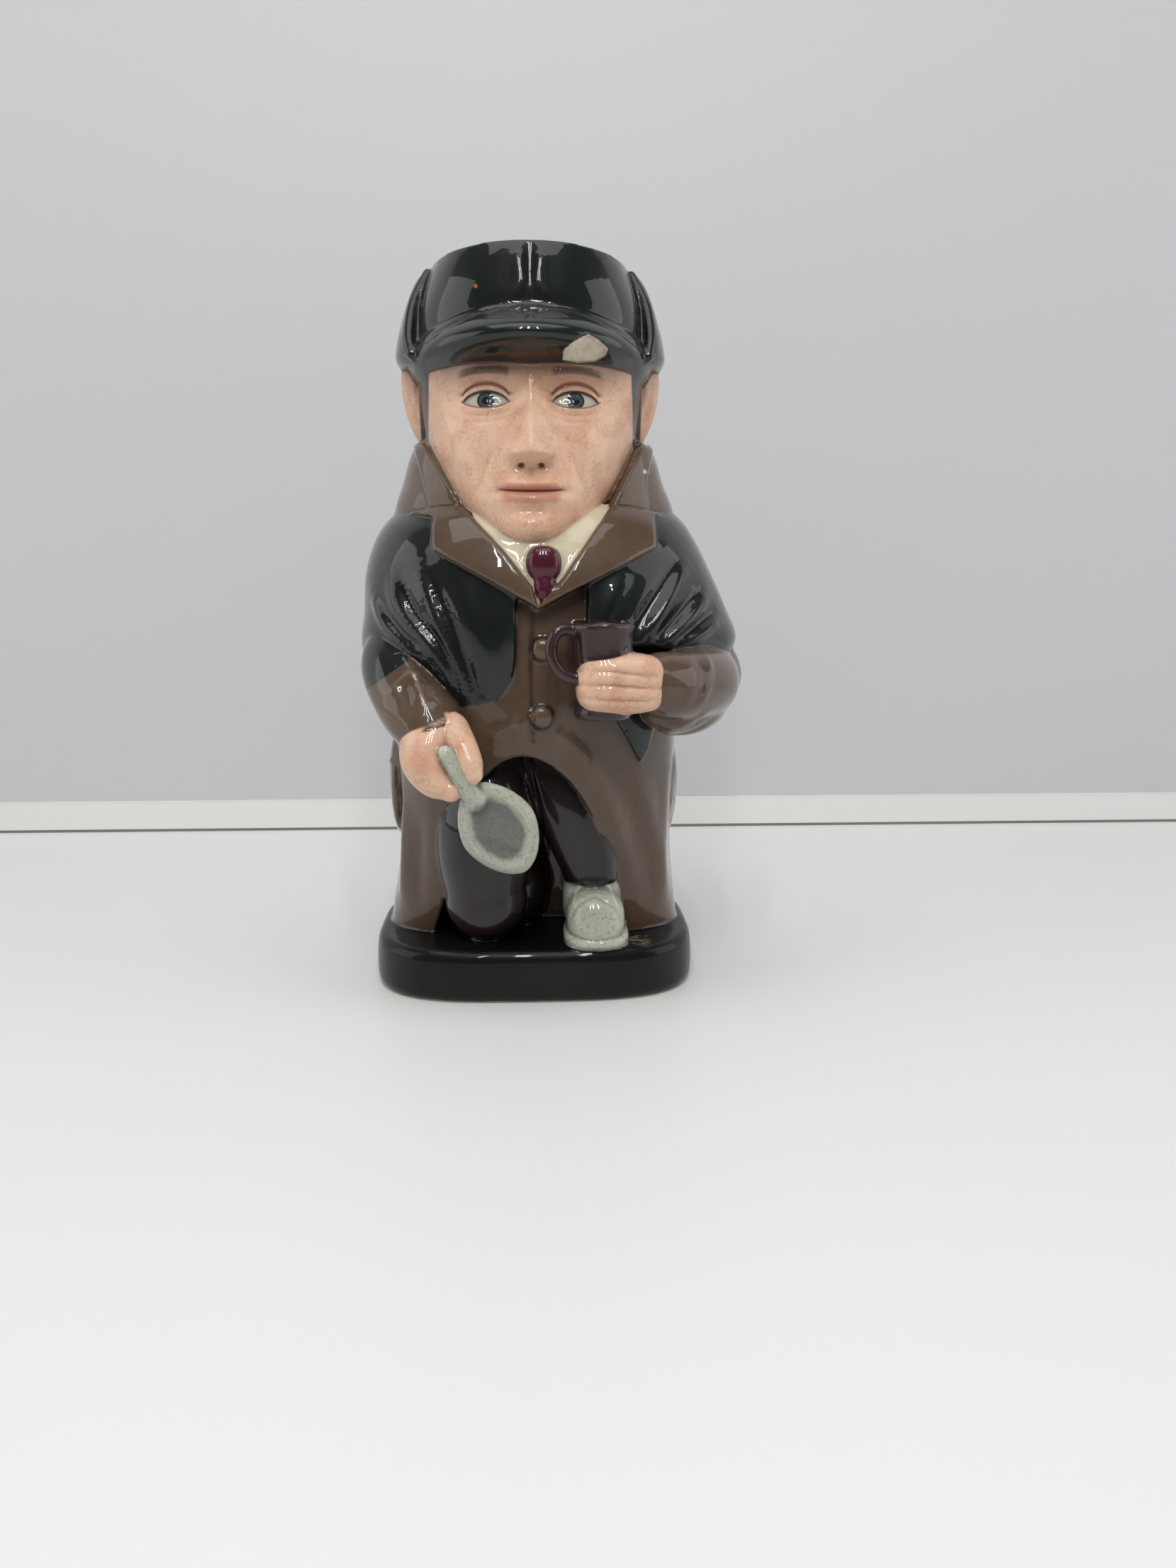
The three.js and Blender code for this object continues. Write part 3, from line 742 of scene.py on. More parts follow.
def soften(piece, factor, times):
    smooth = piece.modifiers.new("soften", "SMOOTH")
    smooth.factor = factor
    smooth.iterations = times
    bpy.ops.object.modifier_apply(modifier=smooth.name)


soften(jug, 0.5, 7)
print("melted skin has", len(jug.data.polygons), "faces")

# %% [markdown]
# ## More clay for the face
#
# The lids and lips need finer points than the rest, so the faces on the front of the head are subdivided
# once.

# %% Subdivide the face
centres = np.empty(len(jug.data.polygons) * 3)
jug.data.polygons.foreach_get("center", centres)
x, y, z = (centres.reshape(-1, 3) / MM).T
on_face = (np.abs(x) < 25) & (y < -33) & (z > 146) & (z < 195)
jug.data.vertices.foreach_set("select", np.zeros(len(jug.data.vertices), bool))
jug.data.edges.foreach_set("select", np.zeros(len(jug.data.edges), bool))
jug.data.polygons.foreach_set("select", on_face)
bpy.context.tool_settings.mesh_select_mode = (False, False, True)
bpy.ops.object.mode_set(mode="EDIT")
bpy.ops.mesh.subdivide(number_cuts=1)
bpy.ops.object.mode_set(mode="OBJECT")
print("with the face subdivided:", len(jug.data.polygons), "faces,", int(on_face.sum()), "were on the face")

# %% [markdown]
# ## Modelling tools
#
# A `stroke` is one pull of a modelling tool: a smooth line across the skin that raises or presses it,
# strongest in its middle. Lines are given as seen from the front, or by bearing and height round the
# figure, and a ray finds where they meet the skin.

# %% Modelling tools
def normals(piece):
    found = np.empty(len(piece.data.vertices) * 3)
    piece.data.vertices.foreach_get("normal", found)
    return found.reshape(-1, 3)


skin = places(jug) / MM
out = normals(jug)
lift = np.zeros(len(skin))
surface = BVHTree.FromObject(jug, bpy.context.evaluated_depsgraph_get())


def found_at(starts, directions):
    hits = [surface.ray_cast(Vector(s) * MM, Vector(d))[0] for s, d in zip(starts, directions)]
    return np.array([hit / MM for hit in hits if hit is not None])


def from_front(points, count=30):
    way = smooth_line(points, count)
    return found_at([(x, -100, z) for x, z in way], [(0, 1, 0)] * len(way))


def from_round(points, count=30, away=120):
    bearing, z = smooth_line(points, count).T
    inward = np.column_stack([-np.sin(np.radians(bearing)), np.cos(np.radians(bearing)), np.zeros(count)])
    starts = -away * inward + np.outer(z, (0, 0, 1))
    return found_at(starts, inward)


def stroke(way, width, height, ends=0.6):
    near = np.all((skin > way.min(0) - 3 * width) & (skin < way.max(0) + 3 * width), axis=1)
    index = np.flatnonzero(near)
    gap = np.linalg.norm(skin[index, None] - way[None], axis=2)
    nearest = gap.argmin(1)
    along = nearest / (len(way) - 1)
    taper = np.sin(np.pi * np.clip(along, 0.02, 0.98)) ** ends
    lift[index] += height * taper * np.exp(-((gap.min(1) / width) ** 2))


# %% Folds of the cape
CAPE_FOLDS = [
    ([(-43, 134), (-40.5, 124), (-32, 115.5), (-27, 108), (-22.5, 98)], 3.2, 1.5),
    ([(-40, 132), (-35.5, 122), (-28.5, 114), (-24.2, 106), (-21.4, 97)], 1.8, -1.4),
    ([(-35, 136), (-30, 125), (-25, 114), (-21.8, 104), (-20, 95)], 2.8, 1.3),
    ([(-30, 132), (-24.6, 118), (-20, 106), (-18, 97)], 2.2, -1.2),
    ([(-22, 132), (-17, 118), (-13.6, 106), (-14, 96)], 4, 0.9),
    ([(-50, 127), (-45, 119), (-38, 112.5), (-30, 106)], 2.6, 1.3),
    ([(-47, 124), (-40, 116), (-33, 110.5)], 1.6, -1.1),
    ([(47.2, 136), (40, 124), (33, 114)], 2.4, 1.4),
    ([(43, 136), (36, 125), (29, 115)], 2.4, -1.1),
    ([(55, 127), (47.6, 119.6), (39.6, 112.6)], 2.2, 1.4),
    ([(51.5, 129), (44, 120.5), (37, 113.5)], 1.8, -1.2),
    ([(58.5, 119), (52, 115), (43.6, 111.4)], 1.8, 1.1),
    ([(57, 122.4), (50, 117.4), (42.6, 113)], 1.5, -1),
    ([(28, 134), (24, 126), (20, 117)], 3, 0.8),
]
CAPE_DEPTH = 1.3
for points, width, height in CAPE_FOLDS:
    stroke(from_front(points), width, height * CAPE_DEPTH)
print(len(CAPE_FOLDS), "folds on the cape")

# %% Folds of the sleeves and the coat
CLOTH_FOLDS = [
    ([(-39.6, 110), (-35.6, 103.6), (-31.4, 95)], 1.8, 0.9),
    ([(-43.4, 98), (-36.4, 103.2), (-30.4, 101)], 1.6, 0.9),
    ([(-43, 106), (-38, 99), (-36, 92)], 2.2, -0.7),
    ([(51.6, 112), (53, 104), (50.6, 96)], 1.6, 0.7),
    ([(48.6, 110), (50, 103), (47.6, 94)], 1.8, -0.6),
    ([(37, 88), (45, 88.6), (54, 92)], 1.8, 0.8),
    ([(40, 85), (48, 85), (57, 89)], 1.4, -0.7),
    ([(-2, 91), (-9, 87), (-15, 84.4)], 2, 0.9),
    ([(5, 87), (14, 80), (21, 68), (28, 50), (33, 30)], 2.6, 0.9),
    ([(9, 88), (20, 80), (29, 64), (36, 44), (41, 26)], 4.5, -0.9),
    ([(30, 78), (36, 60), (41, 40), (44, 24)], 4, 1.1),
    ([(-41, 62), (-42, 44), (-44, 26)], 3, 1),
    ([(-36, 60), (-37.5, 42), (-38, 26)], 3, -0.8),
    ([(-12, 96), (-6, 90), (0, 80)], 2.2, 0.7),
]
for points, width, height in CLOTH_FOLDS:
    stroke(from_front(points), width, height)
ROUND_FOLDS = [
    ([(60, 74), (64, 50), (66, 24)], 4, 0.9),
    ([(72, 78), (78, 50), (80, 24)], 4, -0.8),
    ([(96, 80), (98, 50), (100, 22)], 4.5, 1),
    ([(-64, 70), (-66, 46), (-68, 22)], 4, 0.9),
    ([(-78, 74), (-82, 48), (-84, 24)], 4, -0.8),
    ([(-100, 84), (-102, 50), (-106, 22)], 4.5, 1),
    ([(128, 84), (130, 54), (134, 22)], 5, -0.9),
    ([(-130, 84), (-134, 54), (-138, 22)], 5, -0.9),
    ([(150, 84), (154, 50), (158, 22)], 4.5, 1),
    ([(-152, 84), (-158, 50), (-162, 22)], 4.5, 1),
    ([(100, 146), (106, 122), (112, 100)], 4.5, 1.1),
    ([(120, 146), (128, 122), (134, 100)], 4, -1),
    ([(142, 146), (148, 122), (152, 98)], 4.5, 1.1),
    ([(-100, 146), (-104, 122), (-108, 102)], 4.5, 1.1),
    ([(-120, 146), (-126, 122), (-130, 98)], 4, -1),
    ([(-142, 146), (-148, 122), (-152, 98)], 4.5, 1.1),
    ([(168, 140), (170, 120), (171, 98)], 4, -0.9),
]
for points, width, height in ROUND_FOLDS:
    stroke(from_round(points), width, height)
print(len(CLOTH_FOLDS) + len(ROUND_FOLDS), "folds on the sleeves and the coat")

# %% Seams, grooves and laces
LINES = [
    ([(-38.6, 84.6), (-33, 87.6), (-27, 89.6), (-20.4, 90)], 0.8, -0.25),
    ([(13.6, 105.6), (22, 105.8), (31, 104.6), (36, 104)], 0.75, -0.65),
    ([(12.8, 101.6), (22, 101.8), (31, 101), (36.6, 100.6)], 0.75, -0.65),
    ([(13.4, 97.6), (22, 97.4), (31, 97), (36, 97)], 0.75, -0.65),
    ([(-36.4, 75.4), (-32, 72.4), (-26, 71.6)], 0.6, -0.35),
    ([(-34, 72), (-30, 70), (-25, 69.8)], 0.6, -0.35),
    ([(-2, 77), (1, 62), (3.4, 46), (4.4, 40)], 1.2, -0.9),
    ([(12, 31), (14.6, 35), (19, 36.2), (23.4, 34.6), (26.2, 30)], 0.7, 0.6),
    ([(11, 26), (13.4, 31), (19, 33.4), (24.8, 30), (27.6, 24.6)], 0.8, -0.6),
    ([(15.6, 37.4), (19, 36.4), (22.6, 37.4)], 0.6, -0.6),
    ([(9.4, 21.6), (19, 20.4), (29.6, 21.4)], 0.5, -0.5),
    ([(-46, 74), (-50, 70)], 1, 0.5),
    ([(0.2, 122), (-0.6, 110), (-0.4, 96), (0, 84)], 0.9, -0.8),
]
for points, width, height in LINES:
    stroke(from_front(points, count=80), width, height, ends=0.3)
for side in (-1, 1):
    stroke(from_round([(side * 59, 225), (side * 62, 214), (side * 57, 202)]), 1.1, -0.7)
    stroke(from_front([(side * 3.4, 225), (side * 2.6, 216), (side * 9, 208.6)]), 2.4, 0.7)
    stroke(from_front([(0, 209), (side * 12, 207.6), (side * 24, 204), (side * 33, 200)]), 1.6, -0.6)
    for x in (38.4, 39.6):
        stroke(from_front([(side * x, 194), (side * (x - 1), 186), (side * (x - 3.6), 178)]), 1.2, -0.8)
skin += out * lift[:, None]
print("folds move the skin by", round(float(lift.min()), 2), "to", round(float(lift.max()), 2), "mm")

# %% [markdown]
# ## Eyes, lids and lips
#
# The fine drawing of the face: each eye is an almond between two lid lines, sunk a little under lids that
# stand proud, with a crease above and a soft fold below. The same two lid lines are used again for the
# painting.

# %% Fine drawing of the face
EYE_HALF = 6.6
UPPER_LID = 2.8
LOWER_LID = 1.7
BROW_LINE = EYE_LINE + 8.2
BROW_OUT = 13
BROW_ARCH = 0.012


def fine_face(x, z):
    side = np.abs(x)
    u = (side - EYE_OUT) / EYE_HALF
    arch = np.clip(1 - u * u, 0, 1)
    near = 1 - smoothstep(np.abs(u), 0.95, 1.35)
    v = z - EYE_LINE
    upper = UPPER_LID * arch**0.7
    lower = -LOWER_LID * arch**0.8
    inside = smoothstep(v, lower - 0.2, lower + 0.3) * (1 - smoothstep(v, upper - 0.3, upper + 0.2))

    def line(middle, wide):
        return np.exp(-(((v - middle) / wide) ** 2)) * near

    smile = MOUTH_LINE + 0.5 * (x / 9) ** 2
    lips = 1 - smoothstep(side, 7.4, 10.4)
    fold_x = 11.4 + (NOSE_BASE + 4 - z) * 0.34
    fold = np.exp(-(((side - fold_x) / 1.2) ** 2)) * smoothstep(z, MOUTH_LINE - 3, MOUTH_LINE + 4)
    fold = fold * (1 - smoothstep(z, NOSE_BASE + 1, NOSE_BASE + 5))
    brow = 0.5 * np.exp(-(((z - BROW_LINE - 0.6 + BROW_ARCH * (side - BROW_OUT) ** 2) / 1.3) ** 2))
    brow = brow * smoothstep(side, 5, 8) * (1 - smoothstep(side, 19, 23))
    return (
        -0.75 * inside * (arch > 0)
        + 0.6 * line(upper + 0.9, 0.65)
        - 0.65 * line(upper + 2.3, 0.5)
        + 0.4 * line(lower - 0.7, 0.5)
        - 0.3 * line(lower - 2.4, 0.6)
        - 0.25 * line(lower - 4.2, 0.8)
        - 1.3 * bell(side, z, 2.9, NOSE_BASE - 0.6, 1.3, 0.9)
        - 0.6 * bell(side, z, 7.4, NOSE_BASE + 2.6, 0.8, 2.6)
        - 0.45 * bell(x, z, 0, MOUTH_LINE + 5, 1.1, 2.4)
        - 0.6 * np.exp(-(((z - smile) / 0.45) ** 2)) * lips
        + 0.3 * np.exp(-(((z - smile - 1.2) / 0.7) ** 2)) * lips
        - 0.45 * bell(side, z, 9.8, MOUTH_LINE + 0.2, 1, 1.1)
        - 0.5 * fold
        + brow
    )


x, y, z = skin.T
front = smoothstep(-y, 24, 34) * smoothstep(z, 142, 146) * (1 - smoothstep(z, 195, 197.5))
skin[:, 1] -= fine_face(x, z) * front * (np.abs(x) < 31)
print("the face has", int((front > 0).sum()), "points")

# %% [markdown]
# ## The chip
#
# A piece of the peak's edge is broken away, down to the pale body of the clay. Its outline is a polygon
# in the front view, and the distance to that outline both presses the skin in and, later, takes the glaze
# off.

# %% The chip
CHIP = [
    (9.2, 194.2), (9.4, 196.2), (12.6, 198.2), (16.6, 200.4), (19.4, 199.2),
    (22.6, 197.4), (22, 195.8), (19, 194.4), (14, 193.6),
]


def outline_distance(x, z, corners):
    corners = np.array(corners, float)
    place = np.column_stack([x, z])
    closest = np.full(len(x), 1e9)
    inside = np.zeros(len(x), bool)
    for a, b in zip(corners, np.roll(corners, -1, axis=0)):
        share = np.clip(((place - a) @ (b - a)) / ((b - a) @ (b - a)), 0, 1)
        closest = np.minimum(closest, np.linalg.norm(place - a - share[:, None] * (b - a), axis=1))
        crosses = (a[1] > z) != (b[1] > z)
        inside ^= crosses & (x < a[0] + (z - a[1]) / (b[1] - a[1] + 1e-12) * (b[0] - a[0]))
    return np.where(inside, closest, -closest)


def chip_depth(x, y, z):
    return np.where(y < -37, outline_distance(x, z, CHIP), -9)


x, y, z = skin.T
deep = smoothstep(chip_depth(x, y, z), -0.1, 0.5)
facets = 0.25 * np.abs(np.sin(x * 1.1 + z * 0.7)) + 0.15 * np.sin(z * 2.3 - x * 0.8)
skin[:, 1] += deep * (1.3 + facets)
jug.data.vertices.foreach_set("co", (skin * MM).ravel())
jug.data.update()
print("the chip has", int((deep > 0).sum()), "points")

# %% [markdown]
# ## Thinning and the map of the skin
#
# The melted skin has far more points than its smooth parts need. Decimation keeps them where the form
# turns. Before it, each point learns how hollow or raised its place is, by comparing it with its
# neighbourhood's average, because glaze pools dark in hollows and thins to a lighter tone on edges.

# %% Hollow and raised places
edges = np.empty(len(jug.data.edges) * 2, int)
jug.data.edges.foreach_get("vertices", edges)
one, two = edges.reshape(-1, 2).T
count = len(skin)
valence = np.bincount(one, minlength=count) + np.bincount(two, minlength=count)
average = skin.copy()
ROUNDS = 26
for _ in range(ROUNDS):
    total = [
        np.bincount(one, average[two, axis], minlength=count)
        + np.bincount(two, average[one, axis], minlength=count)
        for axis in range(3)
    ]
    average = 0.5 * average + 0.5 * np.column_stack(total) / valence[:, None]
relief = ((skin - average) * normals(jug)).sum(axis=1)


def remember(piece, name, values):
    layer = piece.data.attributes.new(name, "FLOAT", "POINT")
    layer.data.foreach_set("value", np.asarray(values, np.float32))


remember(jug, "relief", relief)
print("relief from", round(float(relief.min()), 2), "to", round(float(relief.max()), 2), "mm")

# %% Thin out
thin = jug.modifiers.new("thin", "DECIMATE")
jug.data.calc_loop_triangles()
thin.ratio = min(1, TRIANGLES / len(jug.data.loop_triangles))
thin.use_collapse_triangulate = True
bpy.ops.object.modifier_apply(modifier=thin.name)
bpy.ops.object.shade_smooth()
print("thinned skin has", len(jug.data.polygons), "triangles")

# %% [markdown]
# ## Where each colour goes
#
# For every point and every colour, the search tree gives the distance to the nearest form of that colour.
# A colour's *margin* is how much nearer it is than all others: above zero the brush covers the point, and
# the line where two margins meet runs exactly in the crease between two forms.

# %% Margins of the colours
skin = places(jug) / MM
reach_of = {}
for colour, tree in trees.items():
    reach_of[colour] = np.array([tree.find_nearest(Vector(c))[3] for c in skin * MM]) / MM
for colour in reach_of:
    others = np.min([d for name, d in reach_of.items() if name != colour], axis=0)
    remember(jug, colour, others - reach_of[colour])
x, y, z = skin.T
remember(jug, "underside", np.where(y < -20, 195.8 - 3.2 * (x / 38) ** 2 - z, -9))
remember(jug, "chip", chip_depth(x, y - 1.3, z))
print("margins for", ", ".join(reach_of))

# %% [markdown]
# ## Shader maths as plain expressions
#
# A `Wire` holds one socket of the material. Adding, multiplying or comparing wires adds the Math nodes,
# so the painting below reads like arithmetic.

# %% Wires
glaze = bpy.data.materials.new("glazed_earthenware")
glaze.use_nodes = True
tree = glaze.node_tree
tree.nodes.clear()


def add(kind, settings=None, sockets=None, out=0):
    made = tree.nodes.new(kind)
    for name, value in (settings or {}).items():
        setattr(made, name, value)
    for name, value in (sockets or {}).items():
        if isinstance(value, Wire):
            tree.links.new(value.socket, made.inputs[name])
        else:
            made.inputs[name].default_value = value
    return Wire(made.outputs[out])


def maths(operation, *values):
    return add("ShaderNodeMath", {"operation": operation}, dict(enumerate(values)))


class Wire:
    def __init__(self, socket):
        self.socket = socket

    def __add__(self, other):
        return maths("ADD", self, other)

    def __radd__(self, other):
        return maths("ADD", other, self)

    def __sub__(self, other):
        return maths("SUBTRACT", self, other)

    def __rsub__(self, other):
        return maths("SUBTRACT", other, self)

    def __mul__(self, other):
        return maths("MULTIPLY", self, other)

    def __rmul__(self, other):
        return maths("MULTIPLY", other, self)

    def __truediv__(self, other):
        return maths("DIVIDE", self, other)

    def __rtruediv__(self, other):
        return maths("DIVIDE", other, self)

    def __pow__(self, other):
        return maths("POWER", self, other)

    def __abs__(self):
        return maths("ABSOLUTE", self)


def ramp(value, low, high):
    settings = {"interpolation_type": "SMOOTHSTEP"}
    return add("ShaderNodeMapRange", settings, {"Value": value, "From Min": low, "From Max": high})


def fade(value, low, high):
    return 1 - ramp(value, low, high)


def distance(across, up):
    return maths("SQRT", across * across + up * up)


def mix(first, second, factor):
    return add("ShaderNodeMix", {"data_type": "RGBA"}, {0: factor, 6: first, 7: second}, out=2)


def shade(colour, amount):
    return add("ShaderNodeHueSaturation", {}, {"Color": colour, "Value": amount})


def tint(red, green, blue):
    levels = [c / 255 for c in (red, green, blue)]
    return (*[c / 12.92 if c <= 0.04045 else ((c + 0.055) / 1.055) ** 2.4 for c in levels], 1)


def margin(name):
    return add("ShaderNodeAttribute", {"attribute_name": name}, {}, out=2)


# %% [markdown]
# ## Patterns of the brush
#
# Everything is measured in millimetres from the Object coordinates. Noise of three sizes makes the
# mottling of the stain, the streaks of the brush and the slow drift of the glaze's thickness.

# %% Patterns
here = add("ShaderNodeTexCoord", {}, {}, out=3)
milli = add("ShaderNodeVectorMath", {"operation": "SCALE"}, {0: here, "Scale": 1 / MM})
parts = tree.nodes.new("ShaderNodeSeparateXYZ")
tree.links.new(milli.socket, parts.inputs[0])
px, py, pz = (Wire(socket) for socket in parts.outputs)


def noise(size, detail=3, stretch=(1, 1, 1), rough=0.5):
    space = add("ShaderNodeMapping", {}, {"Vector": milli, "Scale": stretch})
    return add(
        "ShaderNodeTexNoise", {}, {"Vector": space, "Scale": 1 / size, "Detail": detail, "Roughness": rough}
    )


drift = noise(26, 2)
mottle = noise(5, 4)
speckle = noise(0.9, 3, rough=0.65)
streak = noise(4.5, 2, stretch=(1, 1, 0.4))
relief = margin("relief")
hollowed = fade(relief, -0.55, 0.05)
raised = ramp(relief, 0.12, 0.6)
print("patterns use", len(tree.nodes), "nodes")


def covers(name, wobble=0.5, soft=0.16):
    edge = margin(name) + (mottle - 0.5) * wobble
    return ramp(edge, -soft, soft)


# %% [markdown]
# ## The colours
#
# Underglaze colours are brushed on and never lie evenly. Each is a base tone, a darker tone where it
# pools, and a lighter one where it thins over an edge.

# %% Cloth, pewter and plinth
def brushed(light, base, dark, pool=0.75, thin=0.6):
    tone = mix(tint(*base), tint(*light), ramp(streak, 0.4, 0.8) * 0.2 + ramp(drift, 0.35, 0.75) * 0.3)
    tone = mix(tone, tint(*dark), ramp(mottle, 0.5, 0.85) * 0.25)
    tone = mix(tone, tint(*dark), hollowed * pool)
    return mix(tone, tint(*light), raised * thin)


coat_tone = brushed((110, 90, 72), (82, 65, 51), (38, 27, 20))
green_tone = brushed((30, 40, 36), (14, 20, 18), (5, 7, 6))
shirt_tone = brushed((222, 212, 184), (206, 194, 166), (140, 122, 94), pool=0.7)
tie_tone = brushed((104, 30, 54), (64, 14, 30), (24, 6, 12))
trouser_tone = brushed((46, 30, 32), (26, 16, 18), (10, 6, 7))
mug_tone = brushed((72, 50, 50), (42, 28, 28), (18, 10, 11))
pewter_tone = brushed((204, 206, 188), (166, 170, 154), (66, 70, 64), pool=0.9, thin=0.8)
pewter_tone = mix(pewter_tone, tint(86, 90, 82), ramp(speckle, 0.5, 0.7) * 0.5)
DISH_WIDE, DISH_LONG = 7.616, 10.863
blade_x, _, blade_z = TROWEL_MIDDLE
tilt = np.radians(-TROWEL_TURN[1])
across = (px - blade_x) * np.cos(tilt) + (pz - blade_z) * np.sin(tilt)
along = (pz - blade_z) * np.cos(tilt) - (px - blade_x) * np.sin(tilt)
from_middle = distance(across / DISH_WIDE, along / DISH_LONG)
dish = fade(from_middle + (mottle - 0.5) * 0.3, 0.8, 1) * fade(py, -50, -48)
pewter_tone = mix(pewter_tone, tint(74, 80, 76), dish * 0.7)
black_tone = brushed((24, 24, 27), (12, 12, 14), (6, 6, 7))
lining_tone = brushed((232, 222, 200), (220, 208, 184), (196, 180, 150), pool=0.4)
under_peak_tone = brushed((74, 54, 42), (44, 32, 25), (22, 15, 12))
print("with the tones of cloth, pewter and plinth:", len(tree.nodes), "nodes")

# %% Skin and hair
blush = ramp(noise(11, 2), 0.45, 0.7)
skin_tone = mix(tint(224, 184, 156), tint(206, 154, 126), blush * 0.7)
skin_tone = mix(skin_tone, tint(236, 204, 178), raised * 0.7)
stipple = ramp(speckle, 0.36, 0.8) * ramp(mottle, 0.3, 0.7)
skin_tone = mix(skin_tone, tint(128, 84, 64), stipple * 0.5)
skin_tone = mix(skin_tone, tint(112, 70, 50), hollowed * 0.8)
# Painted shade: the front of the forehead darkens upwards under the cap's peak.
skin_tone = mix(skin_tone, tint(104, 66, 46), ramp(pz, 182, 195) * ramp(0 - py, 26, 32) * 0.65)
hair_tone = brushed((92, 86, 82), (52, 49, 47), (26, 24, 23))
aside = abs(px)
strands = noise(0.8, 3, stretch=(1, 1, 0.12))
locks = ramp(strands, 0.35, 0.6)
sideburn = ramp(aside + (pz - 190) * 0.06, 30.4, 31.1) * fade(aside, 34.6, 35.4)
sideburn = sideburn * ramp(pz, 171.5, 173.5) * ramp(py, -35, -33) * fade(py, -2, 0)
nape = ramp(py, 6, 7.5) * ramp(pz, 150, 152)
hair = add("ShaderNodeMath", {"operation": "MAXIMUM"}, {0: sideburn, 1: nape})
skin_tone = mix(skin_tone, shade(hair_tone, 0.6 + locks * 0.6), hair)
print("with skin and hair:", len(tree.nodes), "nodes")

# %% [markdown]
# ## Painting the face
#
# The eyes, brows and lips are painted in the clay colours over the modelled lines, with the same lid
# curves as before. Each brow is one arched stroke of the brush, which stretched noise makes a little
# uneven.

# %% Painting the face
on_front = ramp(0 - py, 28, 31)
u = (aside - EYE_OUT) / EYE_HALF
arch = maths("MAXIMUM", 1 - u * u, 0)
v = pz - EYE_LINE
upper = arch**0.7 * UPPER_LID
lower = arch**0.8 * -LOWER_LID
ball = ramp(v - lower, -0.1, 0.15) * ramp(upper - v, -0.1, 0.15) * ramp(arch, 0, 0.05) * on_front
from_pupil = distance(aside - EYE_OUT, v - 0.35)
iris = fade(from_pupil, 2.4, 2.65)
pupil = fade(from_pupil, 1, 1.25)
rim = ramp(from_pupil, 1.7, 2.4)
eye_tone = mix(tint(186, 176, 164), tint(62, 74, 80), iris)
eye_tone = mix(eye_tone, tint(28, 32, 36), iris * rim)
eye_tone = mix(eye_tone, tint(10, 10, 12), pupil)
face_tone = mix(skin_tone, eye_tone, ball)
near_eye = fade(abs(u), 0.98, 1.16) * on_front
lash = fade(abs(v - upper - 0.1), 0.2, 0.5) * near_eye
face_tone = mix(face_tone, tint(34, 26, 24), lash * 0.9)
lid_fold = fade(abs(v - upper - 2.3), 0.25, 0.8) * near_eye
face_tone = mix(face_tone, tint(112, 66, 48), lid_fold * 0.7)
lower_line = fade(abs(v - lower + 0.15), 0.1, 0.5) * near_eye
face_tone = mix(face_tone, tint(104, 60, 46), lower_line * 0.7)
brow_height = pz - (BROW_LINE + 0.4) + (aside - BROW_OUT) * (aside - BROW_OUT) * BROW_ARCH
brow = fade(abs(brow_height), 0.6, 1.5) * on_front
brow = brow * ramp(aside, 5.4, 7.4) * fade(aside, 19.4, 22.4)
hairs = ramp(noise(0.55, 2, stretch=(1, 1, 0.4)), 0.36, 0.56)
face_tone = mix(face_tone, tint(46, 38, 34), brow * (hairs * 0.12 + 0.68))
smile = px * px * (0.5 / 81) + MOUTH_LINE
lip_reach = fade(aside, 6.6, 9.6)
upper_lip = ramp(pz - smile, 0, 0.2) * fade(pz - smile, 1.5, 2.5)
lower_lip = ramp(smile - pz, 0, 0.2) * fade(smile - pz, 2.8, 4.2)
lips = (upper_lip + lower_lip) * lip_reach * on_front
face_tone = mix(face_tone, tint(176, 100, 86), lips * 0.6)
mouth = fade(abs(pz - smile), 0.12, 0.5) * fade(aside, 8.8, 10.2) * on_front
face_tone = mix(face_tone, tint(84, 44, 36), mouth * 0.8)
nostril_x = aside - 2.9
nostril_z = pz - (NOSE_BASE - 0.5)
nostril = fade(nostril_x * nostril_x / 1.4 + nostril_z * nostril_z / 0.5, 0.3, 1) * on_front
face_tone = mix(face_tone, tint(70, 38, 30), nostril * 0.85)
print("with the face:", len(tree.nodes), "nodes")

# %% [markdown]
# ## Laying the colours on
#
# The coat's brown goes on first and the others over it, each inside its own margin. Last come the marks
# of use: the bare clay of the chip and the foot, a speck of kiln dirt on the cap and dust by the shoe.

# %% Laying the colours on
LAYERS = [
    ("cape", green_tone), ("cap", green_tone), ("shirt", shirt_tone), ("tie", tie_tone),
    ("trousers", trouser_tone), ("mug", mug_tone), ("black", black_tone), ("pewter", pewter_tone),
    ("skin", face_tone), ("lining", lining_tone),
]
HEM_START = (-50, 99)
HEM_CLIMB = 0.69
BUTTON_RIM = 3.7
colour = coat_tone
masks = {}
for name, tone in LAYERS:
    masks[name] = covers(name, wobble=0.35 if name in ("skin", "shirt", "tie") else 0.6)
    colour = mix(colour, tone, masks[name])
mug_floor, mug_rim = MUG_INSIDE[0][0], MUG[-1][0]
in_mug = fade(distance(px - MUG_CENTRE[0], py - MUG_CENTRE[1]), 7.6, 8)
in_mug = in_mug * ramp(pz, mug_floor - 1.4, mug_floor - 0.8) * fade(pz, mug_rim + 0.4, mug_rim + 0.8)
colour = mix(colour, mug_tone, in_mug)
under = ramp(margin("underside"), -0.1, 0.25) * masks["cap"]
colour = mix(colour, under_peak_tone, under)
over_sleeve = ramp(pz - HEM_START[1] - (px - HEM_START[0]) * HEM_CLIMB, -0.25, 0.25)
over_sleeve = over_sleeve * fade(px, -38, -37) * fade(py, -2, 0) * fade(pz, 118, 120)
colour = mix(colour, green_tone, over_sleeve)
for button_x, _, button_z in BUTTONS:
    from_rim = abs(distance(px - button_x, pz - button_z) - BUTTON_RIM)
    ring = fade(from_rim, 0.25, 0.9) * fade(py, -42, -41)
    colour = mix(colour, tint(34, 24, 20), ring * (1 - masks["mug"]) * 0.75)


